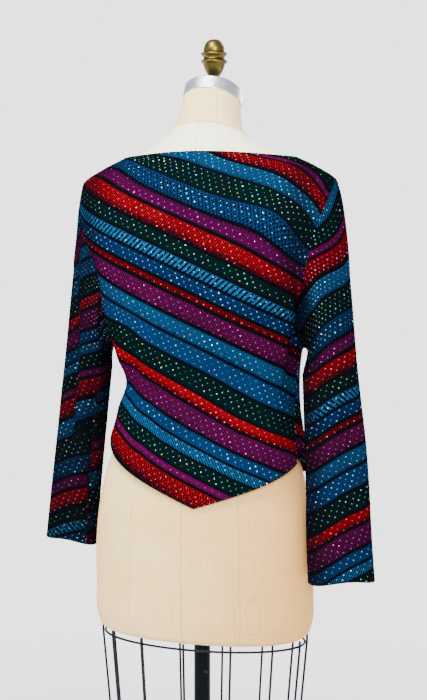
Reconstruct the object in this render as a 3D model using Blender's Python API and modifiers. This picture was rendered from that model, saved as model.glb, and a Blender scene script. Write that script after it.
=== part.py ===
"""A cropped diagonal-stripe sweater on a wire-skirted dress form.

The sweater is four pieces of knitted cloth, each a closed wall 2 mm thick: a back and a front
with pointed hems, and two set-in sleeves. The form is a padded torso with a tilted neck, a steel
neck cap, a brass knob, a wire skirt, and a post on a round cast foot.

Metres, +Z up, the foot stands on Z = 0, the form faces -Y and the wearer's left is +X.
Heights in the tables are above the torso's lower edge, which is at TORSO_HEIGHT.
"""
import math

import bmesh
import bpy
import numpy as np
from mathutils import Vector
from mathutils.bvhtree import BVHTree

# Form
TORSO_HEIGHT = 0.64
TORSO_COLUMNS = ("height", "half_width", "side_y", "back_y", "front_y", "square")
TORSO_SECTIONS = (
    (-0.012, 0.164, -0.008, 0.085, -0.100, 2.20),
    (-0.008, 0.170, -0.008, 0.090, -0.105, 2.20),
    (0.004, 0.175, -0.008, 0.094, -0.111, 2.20),
    (0.060, 0.178, -0.008, 0.097, -0.114, 2.20),
    (0.130, 0.178, -0.008, 0.098, -0.115, 2.20),
    (0.190, 0.172, -0.009, 0.096, -0.114, 2.20),
    (0.245, 0.160, -0.010, 0.087, -0.110, 2.20),
    (0.305, 0.139, -0.013, 0.073, -0.103, 2.15),
    (0.370, 0.118, -0.016, 0.063, -0.100, 2.10),
    (0.430, 0.125, -0.018, 0.070, -0.112, 2.15),
    (0.490, 0.144, -0.020, 0.080, -0.134, 2.20),
    (0.550, 0.157, -0.022, 0.086, -0.140, 2.25),
    (0.610, 0.170, -0.025, 0.084, -0.128, 2.25),
    (0.655, 0.187, -0.028, 0.074, -0.112, 2.20),
    (0.685, 0.196, -0.030, 0.064, -0.102, 2.15),
    (0.704, 0.195, -0.030, 0.055, -0.097, 2.10),
    (0.720, 0.174, -0.031, 0.045, -0.092, 2.05),
    (0.736, 0.139, -0.033, 0.035, -0.088, 2.00),
    (0.752, 0.094, -0.035, 0.025, -0.086, 2.00),
    (0.768, 0.066, -0.037, 0.017, -0.085, 2.00),
    (0.785, 0.053, -0.040, 0.010, -0.086, 2.00),
    (0.805, 0.048, -0.044, 0.001, -0.087, 2.00),
    (0.825, 0.046, -0.048, -0.007, -0.089, 2.00),
)
TORSO_COLUMNS_ROUND = 40
NECK_TILT = math.radians(27)
NECK_TILT_FROM = 0.725
NECK_TILT_TO = 0.795
CAP_RADIUS = 0.047
CAP_BAND = 0.023
CAP_EDGE = 0.003
KNOB_RADIUS = 0.021
STEM_RADIUS = 0.007
STEM_LENGTH = 0.022

# Wire skirt and stand
RING_DROP = 0.022
WIRE_RADIUS = 0.0012
RING_HALF_WIDTH = 0.166
RING_BACK = 0.084
RING_FRONT = -0.099
RING_POINTS = 40
SKIRT_DEPTH = 0.260
SKIRT_TAPER = 0.11
WIRE_COUNT = 14
POST_RADIUS = 0.013
FOOT_RADIUS = 0.190

# Cloth
CLOTH = 0.002
SEAM_GAP = 0.0003
FORM_CLEARANCE = 0.0010
BODY_COLUMNS = ("height", "left", "right", "side_y", "back_y", "front_y", "square")
BODY_SECTIONS = (
    (0.150, 0.184, 0.188, -0.009, 0.102, -0.122, 2.3),
    (0.200, 0.178, 0.181, -0.010, 0.100, -0.120, 2.3),
    (0.250, 0.168, 0.172, -0.011, 0.096, -0.120, 2.3),
    (0.300, 0.152, 0.161, -0.012, 0.084, -0.117, 2.3),
    (0.340, 0.138, 0.154, -0.014, 0.077, -0.116, 2.3),
    (0.380, 0.126, 0.151, -0.016, 0.076, -0.120, 2.3),
    (0.430, 0.144, 0.152, -0.018, 0.084, -0.133, 2.4),
    (0.490, 0.157, 0.166, -0.020, 0.094, -0.150, 2.6),
    (0.540, 0.168, 0.184, -0.023, 0.099, -0.155, 2.7),
    (0.600, 0.190, 0.198, -0.026, 0.097, -0.144, 2.9),
    (0.650, 0.205, 0.205, -0.029, 0.087, -0.126, 2.8),
    (0.685, 0.209, 0.209, -0.030, 0.073, -0.112, 2.5),
    (0.703, 0.205, 0.206, -0.030, 0.064, -0.105, 2.3),
    (0.718, 0.182, 0.184, -0.031, 0.055, -0.100, 2.2),
    (0.733, 0.148, 0.152, -0.032, 0.042, -0.095, 2.1),
    (0.748, 0.116, 0.120, -0.033, 0.033, -0.093, 2.0),
)
# Angles run from the wearer's left side seam (0) by the back (90) to the right seam (180).
BACK_POINT_ANGLE = 96.5
FRONT_POINT_ANGLE = 270.0
HEM_BACK_POINT = 0.203
HEM_FRONT_POINT = 0.205
HEM_LEFT_SEAM = 0.325
HEM_RIGHT_SEAM = 0.268
FRONT_HEM_LIFT = 0.008
UNDERARM = 0.440
SHOULDER = 0.703
NECKLINE_BACK = 0.745
NECKLINE_SIDE = 0.737
NECKLINE_FRONT = 0.722
ARMHOLE_BACK_LEFT = 35.0
ARMHOLE_BACK_RIGHT = 31.0
ARMHOLE_FRONT = 26.0
ARMHOLE_ROUNDNESS = 1.2
RIGHT_SEAM_LEAN = 19.0
RIGHT_UNDERARM_SWING = 8.0
ARMHOLE_CELLS = 14
BODY_FOLD_COLUMNS = ("angle", "height", "half_angle", "half_length", "lift", "lean")
BODY_FOLDS = (
    (153.0, 0.480, 6.0, 0.090, 0.0050, -15.0),
    (166.0, 0.460, 6.0, 0.080, -0.0075, -15.0),
    (36.0, 0.505, 8.0, 0.045, 0.0050, 60.0),
    (52.0, 0.415, 5.0, 0.020, -0.0040, 120.0),
    (38.0, 0.425, 6.0, 0.026, 0.0050, 120.0),
    (66.0, 0.372, 9.0, 0.014, -0.0025, 0.0),
    (128.0, 0.400, 8.0, 0.050, -0.0030, -90.0),
    (118.0, 0.640, 9.0, 0.050, 0.0025, -150.0),
    (20.0, 0.350, 9.0, 0.030, 0.0040, 100.0),
    (232.0, 0.430, 8.0, 0.060, 0.0050, 60.0),
    (308.0, 0.430, 8.0, 0.060, 0.0050, -60.0),
    (250.0, 0.360, 7.0, 0.050, -0.0035, 90.0),
    (290.0, 0.360, 7.0, 0.050, -0.0035, -90.0),
    (246.0, 0.540, 17.0, 0.050, 0.0060, 0.0),
    (294.0, 0.540, 17.0, 0.050, 0.0060, 0.0),
)

# Sleeves: the section is an oval whose long axis lies across the camera of the photograph.
SLEEVE_COLUMNS = ("height", "centre_x", "centre_y", "half_long", "half_short")
SLEEVE_LEFT = (
    (0.115, 0.2400, -0.031, 0.0430, 0.0300),
    (0.180, 0.2345, -0.031, 0.0412, 0.0305),
    (0.240, 0.2275, -0.030, 0.0405, 0.0315),
    (0.310, 0.2185, -0.028, 0.0400, 0.0330),
    (0.360, 0.2120, -0.026, 0.0398, 0.0350),
    (0.400, 0.2067, -0.025, 0.0395, 0.0370),
)
SLEEVE_RIGHT = (
    (0.090, -0.2328, 0.020, 0.0512, 0.0200),
    (0.160, -0.2280, 0.018, 0.0502, 0.0215),
    (0.230, -0.2245, 0.014, 0.0486, 0.0240),
    (0.300, -0.2190, 0.009, 0.0472, 0.0270),
    (0.350, -0.2140, 0.005, 0.0450, 0.0300),
    (0.400, -0.2080, -0.002, 0.0430, 0.0340),
)
SLEEVE_TURN = math.radians(19.5)
CAP_ROWS = 10
ARM_ROWS = 10
CUFF_TILT_LEFT = 0.15
CUFF_TILT_RIGHT = 0.055
SLEEVE_FOLD_COLUMNS = ("turn", "height", "half_turn", "half_length", "lift", "lean")
SLEEVE_FOLDS_LEFT = (
    (22.0, 0.360, 13.0, 0.110, -0.0070, 30.0),
    (0.0, 0.350, 14.0, 0.100, 0.0030, 30.0),
    (-34.0, 0.250, 12.0, 0.070, -0.0030, 60.0),
    (60.0, 0.180, 14.0, 0.035, -0.0030, 0.0),
    (175.0, 0.330, 12.0, 0.070, -0.0040, 40.0),
)
SLEEVE_FOLDS_RIGHT = (
    (-38.0, 0.420, 12.0, 0.060, -0.0040, -40.0),
    (30.0, 0.330, 16.0, 0.050, -0.0025, 90.0),
    (10.0, 0.190, 16.0, 0.045, -0.0020, -60.0),
    (190.0, 0.320, 14.0, 0.070, -0.0035, 40.0),
)
CUFF_WAVE = 0.0022

parts = bpy.data.collections.new("sweater_on_form")


def clear_scene():
    """Removes what the start-up file holds, and links this model's collection."""
    for old in list(bpy.data.objects):
        bpy.data.objects.remove(old)
    bpy.context.scene.collection.children.link(parts)


def finish(name, colour, roughness, metallic=0.0):
    """A plain material with the part's colour."""
    material = bpy.data.materials.new(name)
    material.use_nodes = True
    shader = material.node_tree.nodes["Principled BSDF"]
    shader.inputs["Base Color"].default_value = (*colour, 1.0)
    shader.inputs["Roughness"].default_value = roughness
    shader.inputs["Metallic"].default_value = metallic
    return material


def add(name, data, material, place=(0.0, 0.0, 0.0)):
    """Links mesh or curve data as one named object."""
    piece = bpy.data.objects.new(name, data)
    piece.location = place
    data.materials.append(material)
    parts.objects.link(piece)
    return piece


def read(columns, rows, name, at):
    """Smooth value of one named table column at the given heights, by cubic Hermite spans."""
    table = np.array(sorted(rows))
    knots = table[:, 0]
    values = table[:, columns.index(name)]
    slopes = np.gradient(values, knots)
    at = np.clip(np.asarray(at, float), knots[0], knots[-1])
    left = np.clip(np.searchsorted(knots, at) - 1, 0, len(knots) - 2)
    span = knots[left + 1] - knots[left]
    t = (at - knots[left]) / span
    blend = t * t * (3 - 2 * t)
    rise = t * (1 - t) ** 2
    fall = t * t * (t - 1)
    start = (1 - blend) * values[left] + rise * span * slopes[left]
    return start + blend * values[left + 1] + fall * span * slopes[left + 1]


def section(angle, half_width, side_y, back_y, front_y, square):
    """Point of a squared oval: the scaled circle point, pushed out by its superellipse radius."""
    c, s = np.cos(angle), np.sin(angle)
    push = (np.abs(c) ** square + np.abs(s) ** square) ** (-1.0 / square)
    depth = np.where(s > 0, back_y - side_y, side_y - front_y)
    return half_width * push * c, side_y + depth * push * s


def soft_step(low, high, at):
    """0 below low, 1 above high, and smooth between."""
    t = np.clip((at - low) / (high - low), 0.0, 1.0)
    return t * t * (3 - 2 * t)


def folds(columns, rows, angle_deg, height):
    """Sum of soft ridges and troughs, each a bell across its line and a bell along it."""
    total = np.zeros(np.broadcast(angle_deg, height).shape)
    for row in rows:
        fold = dict(zip(columns, row))
        turn, _, half_turn = row[0], row[1], row[2]
        line = turn + fold["lean"] * (height - fold["height"])
        across = (angle_deg - line + 180.0) % 360.0 - 180.0
        along = (height - fold["height"]) / fold["half_length"]
        total = total + fold["lift"] * np.exp(-((across / half_turn) ** 2) - along**2)
    return total


# Torso and neck
def torso_point(angle, height):
    """Point of the torso's skin. Rings above the shoulders tilt with the neck."""
    values = [read(TORSO_COLUMNS, TORSO_SECTIONS, name, height) for name in TORSO_COLUMNS[1:]]
    x, y = section(angle, *values)
    tilt = math.tan(NECK_TILT) * soft_step(NECK_TILT_FROM, NECK_TILT_TO, height)
    return np.stack([x, y, TORSO_HEIGHT + height + tilt * (y - values[1])], axis=-1)


def closed_tube(rings):
    """Mesh of rings of points, joined by quads and closed by a flat face at each end."""
    count, around = rings.shape[:2]
    cells = []
    for r in range(count - 1):
        for a in range(around):
            b = (a + 1) % around
            cells.append((r * around + a, r * around + b, (r + 1) * around + b, (r + 1) * around + a))
    cells.append(tuple(reversed(range(around))))
    cells.append(tuple((count - 1) * around + a for a in range(around)))
    mesh = bpy.data.meshes.new("tube")
    mesh.from_pydata(rings.reshape(-1, 3).tolist(), [], cells)
    return mesh


def make_torso(material):
    heights = np.concatenate([
        np.array([row[0] for row in TORSO_SECTIONS]),
        np.array([0.030, 0.095, 0.275, 0.338, 0.400, 0.460, 0.520, 0.580]),
    ])
    heights.sort()
    angle = np.arange(TORSO_COLUMNS_ROUND) * (2 * math.pi / TORSO_COLUMNS_ROUND)
    rings = torso_point(angle[None, :], heights[:, None])
    mesh = closed_tube(rings)
    mesh.shade_smooth()
    mesh.set_sharp_from_angle(angle=math.radians(50))
    return add("torso", mesh, material)


def neck_top():
    """Centre of the neck's flat top, and its tilt as a rotation about X."""
    top = TORSO_SECTIONS[-1]
    y = 0.5 * (top[3] + top[4])
    z = TORSO_HEIGHT + top[0] + math.tan(NECK_TILT) * (y - top[2])
    return Vector((0.0, y, z)), NECK_TILT


def turned(name, profile, steps, material):
    """A profile of (radius, height) pairs, bottom to top, turned about Z."""
    mesh = bpy.data.meshes.new(name)
    points = [(radius, 0.0, height) for radius, height in reversed(profile)]
    mesh.from_pydata(points, [(i, i + 1) for i in range(len(points) - 1)], [])
    piece = add(name, mesh, material)
    screw = piece.modifiers.new("turn", "SCREW")
    screw.steps = screw.render_steps = steps
    screw.use_merge_vertices = True
    screw.merge_threshold = 0.0001
    return piece


def make_neck_cap(material):
    """A turned steel band with a slightly domed top, laid on the tilted neck."""
    profile = (
        (0.0, 0.0),
        (CAP_RADIUS, 0.0),
        (CAP_RADIUS, CAP_BAND - CAP_EDGE),
        (CAP_RADIUS - 0.3 * CAP_EDGE, CAP_BAND - 0.3 * CAP_EDGE),
        (CAP_RADIUS - CAP_EDGE, CAP_BAND),
        (STEM_RADIUS * 2, CAP_BAND),
        (0.0, CAP_BAND),
    )
    cap = turned("neck_cap", profile, 32, material)
    centre, tilt = neck_top()
    cap.rotation_euler = (tilt, 0.0, 0.0)
    cap.location = centre + Vector((0.0, -math.sin(tilt), math.cos(tilt))) * SEAM_GAP
    return cap


def cap_top():
    """Middle of the cap's upper face, where the knob's stem stands."""
    centre, tilt = neck_top()
    up = Vector((0.0, -math.sin(tilt), math.cos(tilt)))
    return centre + up * (SEAM_GAP + CAP_BAND)


def make_stem(material):
    """A short upright pin whose lower end is cut to the cap's slope."""
    shape = bmesh.new()
    bmesh.ops.create_cone(
        shape, cap_ends=True, segments=20, radius1=STEM_RADIUS, radius2=STEM_RADIUS, depth=STEM_LENGTH
    )
    for vertex in shape.verts:
        if vertex.co.z < 0:
            vertex.co.z += math.tan(NECK_TILT) * vertex.co.y
    mesh = bpy.data.meshes.new("knob_stem")
    shape.to_mesh(mesh)
    shape.free()
    lift = STEM_LENGTH / 2 + SEAM_GAP / math.cos(NECK_TILT)
    return add("knob_stem", mesh, material, cap_top() + Vector((0.0, 0.0, lift)))


def make_knob(material):
    """The turned brass knob: a cup, two rims with a groove between, and a domed crown."""
    r = KNOB_RADIUS
    profile = [(0.0, 0.0), (0.42 * r, 0.0), (0.55 * r, 0.004), (0.70 * r, 0.010), (0.80 * r, 0.016)]
    profile += [(0.84 * r, 0.0198), (0.97 * r, 0.0215), (r, 0.0230), (0.96 * r, 0.0245)]
    profile += [(0.84 * r, 0.0262), (0.82 * r, 0.0295), (0.92 * r, 0.0325), (r, 0.0348), (0.97 * r, 0.0366)]
    crown_low, crown_high, crown_radius = 0.0390, 0.0580, 0.79 * r
    for step in range(6):
        turn = step / 6 * math.pi / 2
        rise = (crown_high - crown_low) * math.sin(turn)
        profile.append((crown_radius * math.cos(turn) ** 0.8, crown_low + rise))
    profile.append((0.0, crown_high))
    knob = turned("knob", profile, 24, material)
    lift = STEM_LENGTH + SEAM_GAP * (1 + 1 / math.cos(NECK_TILT))
    knob.location = cap_top() + Vector((0.0, 0.0, lift))
    return knob


# Wire skirt and stand
def skirt_point(angle, drop, outset=0.0):
    """Point of the wire skirt, which tapers as it goes down from its upper ring."""
    shrink = 1.0 - SKIRT_TAPER * drop / 0.1 * 0.5
    side_y = 0.5 * (RING_BACK + RING_FRONT)
    depth = 0.5 * (RING_BACK - RING_FRONT)
    x = (RING_HALF_WIDTH * shrink + outset) * math.cos(angle)
    y = side_y + (depth * shrink + outset) * math.sin(angle)
    return Vector((x, y, TORSO_HEIGHT - RING_DROP - drop))


def wire(name, points, material, closed=False):
    """A round wire along the given points."""
    curve = bpy.data.curves.new(name, "CURVE")
    curve.dimensions = "3D"
    curve.bevel_depth = WIRE_RADIUS
    curve.bevel_resolution = 1
    curve.use_fill_caps = True
    spline = curve.splines.new("POLY")
    spline.points.add(len(points) - 1)
    for slot, point in zip(spline.points, points):
        slot.co = (*point, 1.0)
    spline.use_cyclic_u = closed
    return add(name, curve, material)


def make_skirt(material):
    turn = 2 * math.pi / RING_POINTS
    for name, drop in (("skirt_ring_top", 0.0), ("skirt_ring_low", SKIRT_DEPTH)):
        wire(name, [skirt_point(k * turn, drop) for k in range(RING_POINTS)], material, closed=True)
    apart = 2 * WIRE_RADIUS + 0.0005
    for k in range(WIRE_COUNT):
        angle = 2 * math.pi * (k + 0.5) / WIRE_COUNT
        top = skirt_point(angle, 0.0, apart)
        top.z = TORSO_HEIGHT + TORSO_SECTIONS[0][0] - SEAM_GAP
        drops = (0.0, 0.5 * SKIRT_DEPTH, SKIRT_DEPTH + 2 * WIRE_RADIUS)
        run = [skirt_point(angle, drop, apart) for drop in drops]
        wire(f"skirt_wire_{k + 1:02d}", [top] + run, material)


def make_stand(material):
    hub_radius, hub_height, rim_height = 0.028, 0.060, 0.010
    profile = [(0.0, 0.0), (FOOT_RADIUS - 0.004, 0.0), (FOOT_RADIUS, 0.004), (FOOT_RADIUS, rim_height)]
    for step in range(1, 6):
        t = step / 5
        radius = FOOT_RADIUS + (hub_radius - FOOT_RADIUS) * t
        profile.append((radius, rim_height + (hub_height - rim_height) * 0.45 * t**2.2))
    profile += [(hub_radius, hub_height - 0.003), (hub_radius - 0.003, hub_height), (0.0, hub_height)]
    turned("foot", profile, 36, material)
    shape = bmesh.new()
    low, high = hub_height + SEAM_GAP, TORSO_HEIGHT + TORSO_SECTIONS[0][0] - SEAM_GAP
    bmesh.ops.create_cone(
        shape, cap_ends=True, segments=28, radius1=POST_RADIUS, radius2=POST_RADIUS, depth=high - low
    )
    mesh = bpy.data.meshes.new("post")
    shape.to_mesh(mesh)
    shape.free()
    add("post", mesh, material, (0.0, 0.0, 0.5 * (low + high)))


# Sweater body
def right_seam(height):
    """Angle of the right seam line: swung forward at the underarm, leaning to the back at the hem."""
    down = np.clip((UNDERARM - height) / (UNDERARM - HEM_RIGHT_SEAM), 0.0, 1.0)
    swing = RIGHT_UNDERARM_SWING * (1 - soft_step(UNDERARM, 0.60, height)) * (1 - down) ** 2
    return 180.0 + swing - RIGHT_SEAM_LEAN * down


def hem_height(panel, angle_deg):
    """Height of a panel's pointed hem: it rises evenly in angle from the point to the side seams."""
    if panel == "back":
        knots = (0.0, BACK_POINT_ANGLE, right_seam(HEM_RIGHT_SEAM))
        return np.interp(angle_deg, knots, (HEM_LEFT_SEAM, HEM_BACK_POINT, HEM_RIGHT_SEAM))
    side = HEM_RIGHT_SEAM + FRONT_HEM_LIFT
    return np.interp(angle_deg, (right_seam(side), FRONT_POINT_ANGLE, 360.0), (side, HEM_FRONT_POINT, HEM_LEFT_SEAM))


def neckline_height(angle_deg):
    """Height of the boat neckline: a smooth wave from the sides to the back and the front."""
    lift = np.sin(np.radians(angle_deg))
    middle = np.where(lift > 0, NECKLINE_BACK, NECKLINE_FRONT)
    return NECKLINE_SIDE + (middle - NECKLINE_SIDE) * lift**2


def body_shape(angle_deg, height):
    """Outer point of the body cloth before it is laid on the form."""
    angle = np.radians(angle_deg)
    values = {name: read(BODY_COLUMNS, BODY_SECTIONS, name, height) for name in BODY_COLUMNS[1:]}
    half_width = np.where(np.cos(angle) > 0, values["left"], values["right"])
    x, y = section(angle, half_width, values["side_y"], values["back_y"], values["front_y"], values["square"])
    lift = folds(BODY_FOLD_COLUMNS, BODY_FOLDS, angle_deg, height)
    return np.stack([x + lift * np.cos(angle), y + lift * np.sin(angle), TORSO_HEIGHT + height], axis=-1)


def laid_on(points, normals, tree, reach):
    """Moves points that are closer than reach to the form's skin out along their own normals."""
    flat = points.reshape(-1, 3).copy()
    outward = normals.reshape(-1, 3)
    for i, point in enumerate(flat):
        near, skin_normal, _, _ = tree.find_nearest(Vector(point))
        out = (Vector(point) - near).dot(skin_normal)
        if out < reach:
            flat[i] += outward[i] * (reach - out)
    return flat.reshape(points.shape)


def body_cloth(angle_deg, height, tree):
    """Outer points and normals of the body cloth, laid on the form."""
    step = 0.4
    rise = 0.0015
    across = body_shape(angle_deg + step, height) - body_shape(angle_deg - step, height)
    upward = body_shape(angle_deg, height + rise) - body_shape(angle_deg, height - rise)
    normal = np.cross(across, upward)
    normal /= np.linalg.norm(normal, axis=-1, keepdims=True)
    return laid_on(body_shape(angle_deg, height), normal, tree, FORM_CLEARANCE + CLOTH), normal


def armhole_opening(turn):
    """Share of the armhole's half angle at a turn round it, from 0 at -90 (underarm) and 90 (shoulder)."""
    return np.abs(np.cos(np.radians(turn))) ** ARMHOLE_ROUNDNESS


def body_rows(cell_rows):
    """Row parameters: 0 to 1 below the underarm, 1 to 2 along the armhole, 2 to 3 above it."""
    low, arm, top = cell_rows
    return np.concatenate([
        np.linspace(0, 1, low, endpoint=False),
        np.linspace(1, 2, arm, endpoint=False),
        np.linspace(2, 3, top + 1),
    ])


def row_height(row, hem, neckline):
    """Height of a row on a column: from the hem to the underarm, the shoulder and the neckline."""
    turn = np.radians(np.clip(row - 1, 0, 1) * 180 - 90)
    arm = 0.5 * (UNDERARM + SHOULDER) + 0.5 * (SHOULDER - UNDERARM) * np.sin(turn)
    low = hem + (UNDERARM - hem) * np.clip(row, 0, 1)
    high = SHOULDER + (neckline - SHOULDER) * np.clip(row - 2, 0, 1)
    return np.where(row < 1, low, np.where(row <= 2, arm, high))


def panel_grid(panel, cells, cell_rows, tree):
    """Outer points and normals of a panel between two side seams, with a column on its hem's point."""
    rows = body_rows(cell_rows)
    before, after = cells
    lift = 0.0 if panel == "back" else FRONT_HEM_LIFT
    seam = right_seam(row_height(rows, HEM_RIGHT_SEAM + lift, NECKLINE_SIDE))
    if panel == "back":
        first, point, last = 0.0 * rows, BACK_POINT_ANGLE, seam
        open_first, open_last = ARMHOLE_BACK_LEFT, ARMHOLE_BACK_RIGHT
    else:
        first, point, last = seam, FRONT_POINT_ANGLE, 0.0 * rows + 360.0
        open_first, open_last = ARMHOLE_FRONT, ARMHOLE_FRONT
    share = np.concatenate([
        np.linspace(0, 0.5, before, endpoint=False),
        np.linspace(0.5, 1, after + 1),
    ])
    opening = armhole_opening(np.clip(rows - 1, 0, 1) * 180 - 90)
    opening = np.where((rows < 1) | (rows > 2), 0.0, opening)
    gap = math.degrees(0.5 * SEAM_GAP / 0.17)
    low_angle = first + gap + open_first * opening
    high_angle = last - gap - open_last * opening
    angle = np.where(
        share[None, :] < 0.5,
        low_angle[:, None] + (point - low_angle[:, None]) * share[None, :] * 2,
        point + (high_angle[:, None] - point) * (share[None, :] * 2 - 1),
    )
    height = row_height(rows[:, None], hem_height(panel, angle), neckline_height(angle))
    return body_cloth(angle, height, tree)


def wall(name, outer, inner, material, round_tube=False):
    """A closed wall between two grids of points: both faces, and the rim between their borders."""
    rows, cols = outer.shape[:2]
    count = rows * cols
    shape = bmesh.new()
    verts = [shape.verts.new(p) for p in np.concatenate([outer.reshape(-1, 3), inner.reshape(-1, 3)])]

    def quad(a, b, c, d):
        shape.faces.new([verts[i] for i in (a, b, c, d)])

    spans = cols if round_tube else cols - 1
    for r in range(rows - 1):
        for c in range(spans):
            a, b = r * cols + c, r * cols + (c + 1) % cols
            d, e = a + cols, b + cols
            quad(a, b, e, d)
            quad(count + b, count + a, count + d, count + e)
    for c in range(spans):
        a, b = c, (c + 1) % cols
        quad(b, a, count + a, count + b)
        a, b = a + count - cols, b + count - cols
        quad(a, b, count + b, count + a)
    if not round_tube:
        for r in range(rows - 1):
            a, b = r * cols, (r + 1) * cols
            quad(a, b, count + b, count + a)
            a, b = a + cols - 1, b + cols - 1
            quad(b, a, count + a, count + b)
    bmesh.ops.recalc_face_normals(shape, faces=shape.faces)
    mesh = bpy.data.meshes.new(name)
    shape.to_mesh(mesh)
    shape.free()
    mesh.shade_smooth()
    mesh.set_sharp_from_angle(angle=math.radians(60))
    return add(name, mesh, material)


def make_panel(name, cells, cell_rows, tree, material):
    outer, normal = panel_grid(name, cells, cell_rows, tree)
    inner = laid_on(outer - normal * CLOTH, normal, tree, 0.8 * FORM_CLEARANCE)
    return wall(name, outer, inner, material)


# Sleeves
def armhole_ring(side, tree):
    """Points, body normals and outward directions round an armhole, from the underarm by the back.

    side is 1 for the wearer's left and -1 for the right. The turn goes -90 (underarm),
    0 (back), 90 (shoulder), 180 (front).
    """
    turn = np.linspace(-90, 270, 2 * ARMHOLE_CELLS, endpoint=False)
    back = ARMHOLE_BACK_LEFT if side > 0 else ARMHOLE_BACK_RIGHT
    half = np.where(turn < 90, back, -ARMHOLE_FRONT) * armhole_opening(turn)
    height = 0.5 * (UNDERARM + SHOULDER) + 0.5 * (SHOULDER - UNDERARM) * np.sin(np.radians(turn))
    angle = half if side > 0 else right_seam(height) - half
    points, normals = body_cloth(angle, height, tree)
    along = np.roll(points, -1, axis=0) - np.roll(points, 1, axis=0)
    away = np.cross(normals, along) * side
    away /= np.linalg.norm(away, axis=-1, keepdims=True)
    return turn, points, normals, away


def sleeve_ring(side, turn, height, table, fold_rows):
    """Ring of the sleeve at each height: a turned oval about the arm's line, with its folds."""
    centre_x = read(SLEEVE_COLUMNS, table, "centre_x", height)
    centre_y = read(SLEEVE_COLUMNS, table, "centre_y", height)
    half_long = read(SLEEVE_COLUMNS, table, "half_long", height)
    half_short = read(SLEEVE_COLUMNS, table, "half_short", height)
    lift = folds(SLEEVE_FOLD_COLUMNS, fold_rows, turn, height)
    outward, backward = np.sin(np.radians(turn)), np.cos(np.radians(turn))
    long_x, long_y = side * math.cos(SLEEVE_TURN), side * math.sin(SLEEVE_TURN)
    across = (half_long + lift) * outward
    behind = (half_short + lift) * backward
    x = centre_x + across * long_x - side * behind * long_y
    y = centre_y + across * long_y + side * behind * long_x
    return np.stack([x, y, TORSO_HEIGHT + height + 0 * x], axis=-1)


def sleeve_grid(side, table, fold_rows, cuff_tilt, tree):
    """Outer points of a sleeve, from the armhole to the cuff, and normals for its wall."""
    turn, start, body_normal, away = armhole_ring(side, tree)
    top = max(row[0] for row in table)
    cuff = min(row[0] for row in table)
    ring = sleeve_ring(side, turn, top, table, fold_rows)
    lower = sleeve_ring(side, turn, top - 0.01, table, fold_rows)
    under = 0.5 - 0.5 * np.sin(np.radians(turn))
    out_push = np.stack([side * 0.055 * under**3, 0 * under, 0 * under], axis=-1)
    fall = (lower - ring) / 0.01 + [side * 0.35, 0.0, 0.0]
    leave = away * (0.040 - 0.020 * under)[:, None] + out_push + fall * (0.07 * (1 - under) ** 2)[:, None]
    arrive = (lower - ring) / 0.01 * (0.040 + 0.16 * (1 - under))[:, None]
    begin = start + away * SEAM_GAP
    rows = [begin]
    for t in (np.arange(1, CAP_ROWS + 1) / CAP_ROWS) ** 1.35:
        blend = t * t * (3 - 2 * t)
        point = (1 - blend) * begin + blend * ring
        point = point + t * (1 - t) ** 2 * leave + t * t * (t - 1) * arrive
        rows.append(point)
    outward = np.sin(np.radians(turn))
    for t in np.arange(1, ARM_ROWS + 1) / ARM_ROWS:
        height = top + (cuff - top) * t
        point = sleeve_ring(side, turn, height, table, fold_rows)
        point[:, 2] += t**2 * cuff_tilt * 0.045 * outward
        point[:, 2] += t**6 * CUFF_WAVE * np.sin(3 * np.radians(turn) + 1.0)
        rows.append(point)
    outer = np.array(rows)
    around = np.roll(outer, -1, axis=1) - np.roll(outer, 1, axis=1)
    down = np.gradient(outer, axis=0)
    normal = np.cross(around, down) * side
    normal /= np.linalg.norm(normal, axis=-1, keepdims=True)
    normal[0] = body_normal
    return outer, normal


def make_sleeve(name, side, table, fold_rows, cuff_tilt, tree, material):
    outer, normal = sleeve_grid(side, table, fold_rows, cuff_tilt, tree)
    return wall(name, outer, outer - normal * CLOTH, material, round_tube=True)


def main():
    clear_scene()
    canvas = finish("canvas", (0.78, 0.64, 0.46), 0.8)
    steel = finish("steel", (0.72, 0.73, 0.73), 0.35, 1.0)
    brass = finish("brass", (0.50, 0.38, 0.12), 0.4, 1.0)
    black = finish("black_enamel", (0.02, 0.02, 0.025), 0.45)
    knit = finish("stripe_knit", (0.05, 0.10, 0.16), 0.7)
    torso = make_torso(canvas)
    make_neck_cap(steel)
    make_stem(brass)
    make_knob(brass)
    make_skirt(black)
    make_stand(black)
    shape = bmesh.new()
    shape.from_mesh(torso.data)
    tree = BVHTree.FromBMesh(shape)
    shape.free()
    make_panel("back", (12, 12), (11, ARMHOLE_CELLS, 3), tree, knit)
    make_panel("front", (10, 10), (10, ARMHOLE_CELLS, 3), tree, knit)
    make_sleeve("sleeve_left", 1, SLEEVE_LEFT, SLEEVE_FOLDS_LEFT, CUFF_TILT_LEFT, tree, knit)
    make_sleeve("sleeve_right", -1, SLEEVE_RIGHT, SLEEVE_FOLDS_RIGHT, CUFF_TILT_RIGHT, tree, knit)


main()
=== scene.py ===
"""A cropped sweater of diagonal spangled stripes on a wire-skirted dress form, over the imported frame.

Metres, +Z up, floor at Z = 0. The form faces -Y and the wearer's left is +X, so the camera stands behind it.
Angles run round the body from the wearer's left side (0) by the back (90), right side (180) and front (270).
"""
import math

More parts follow.
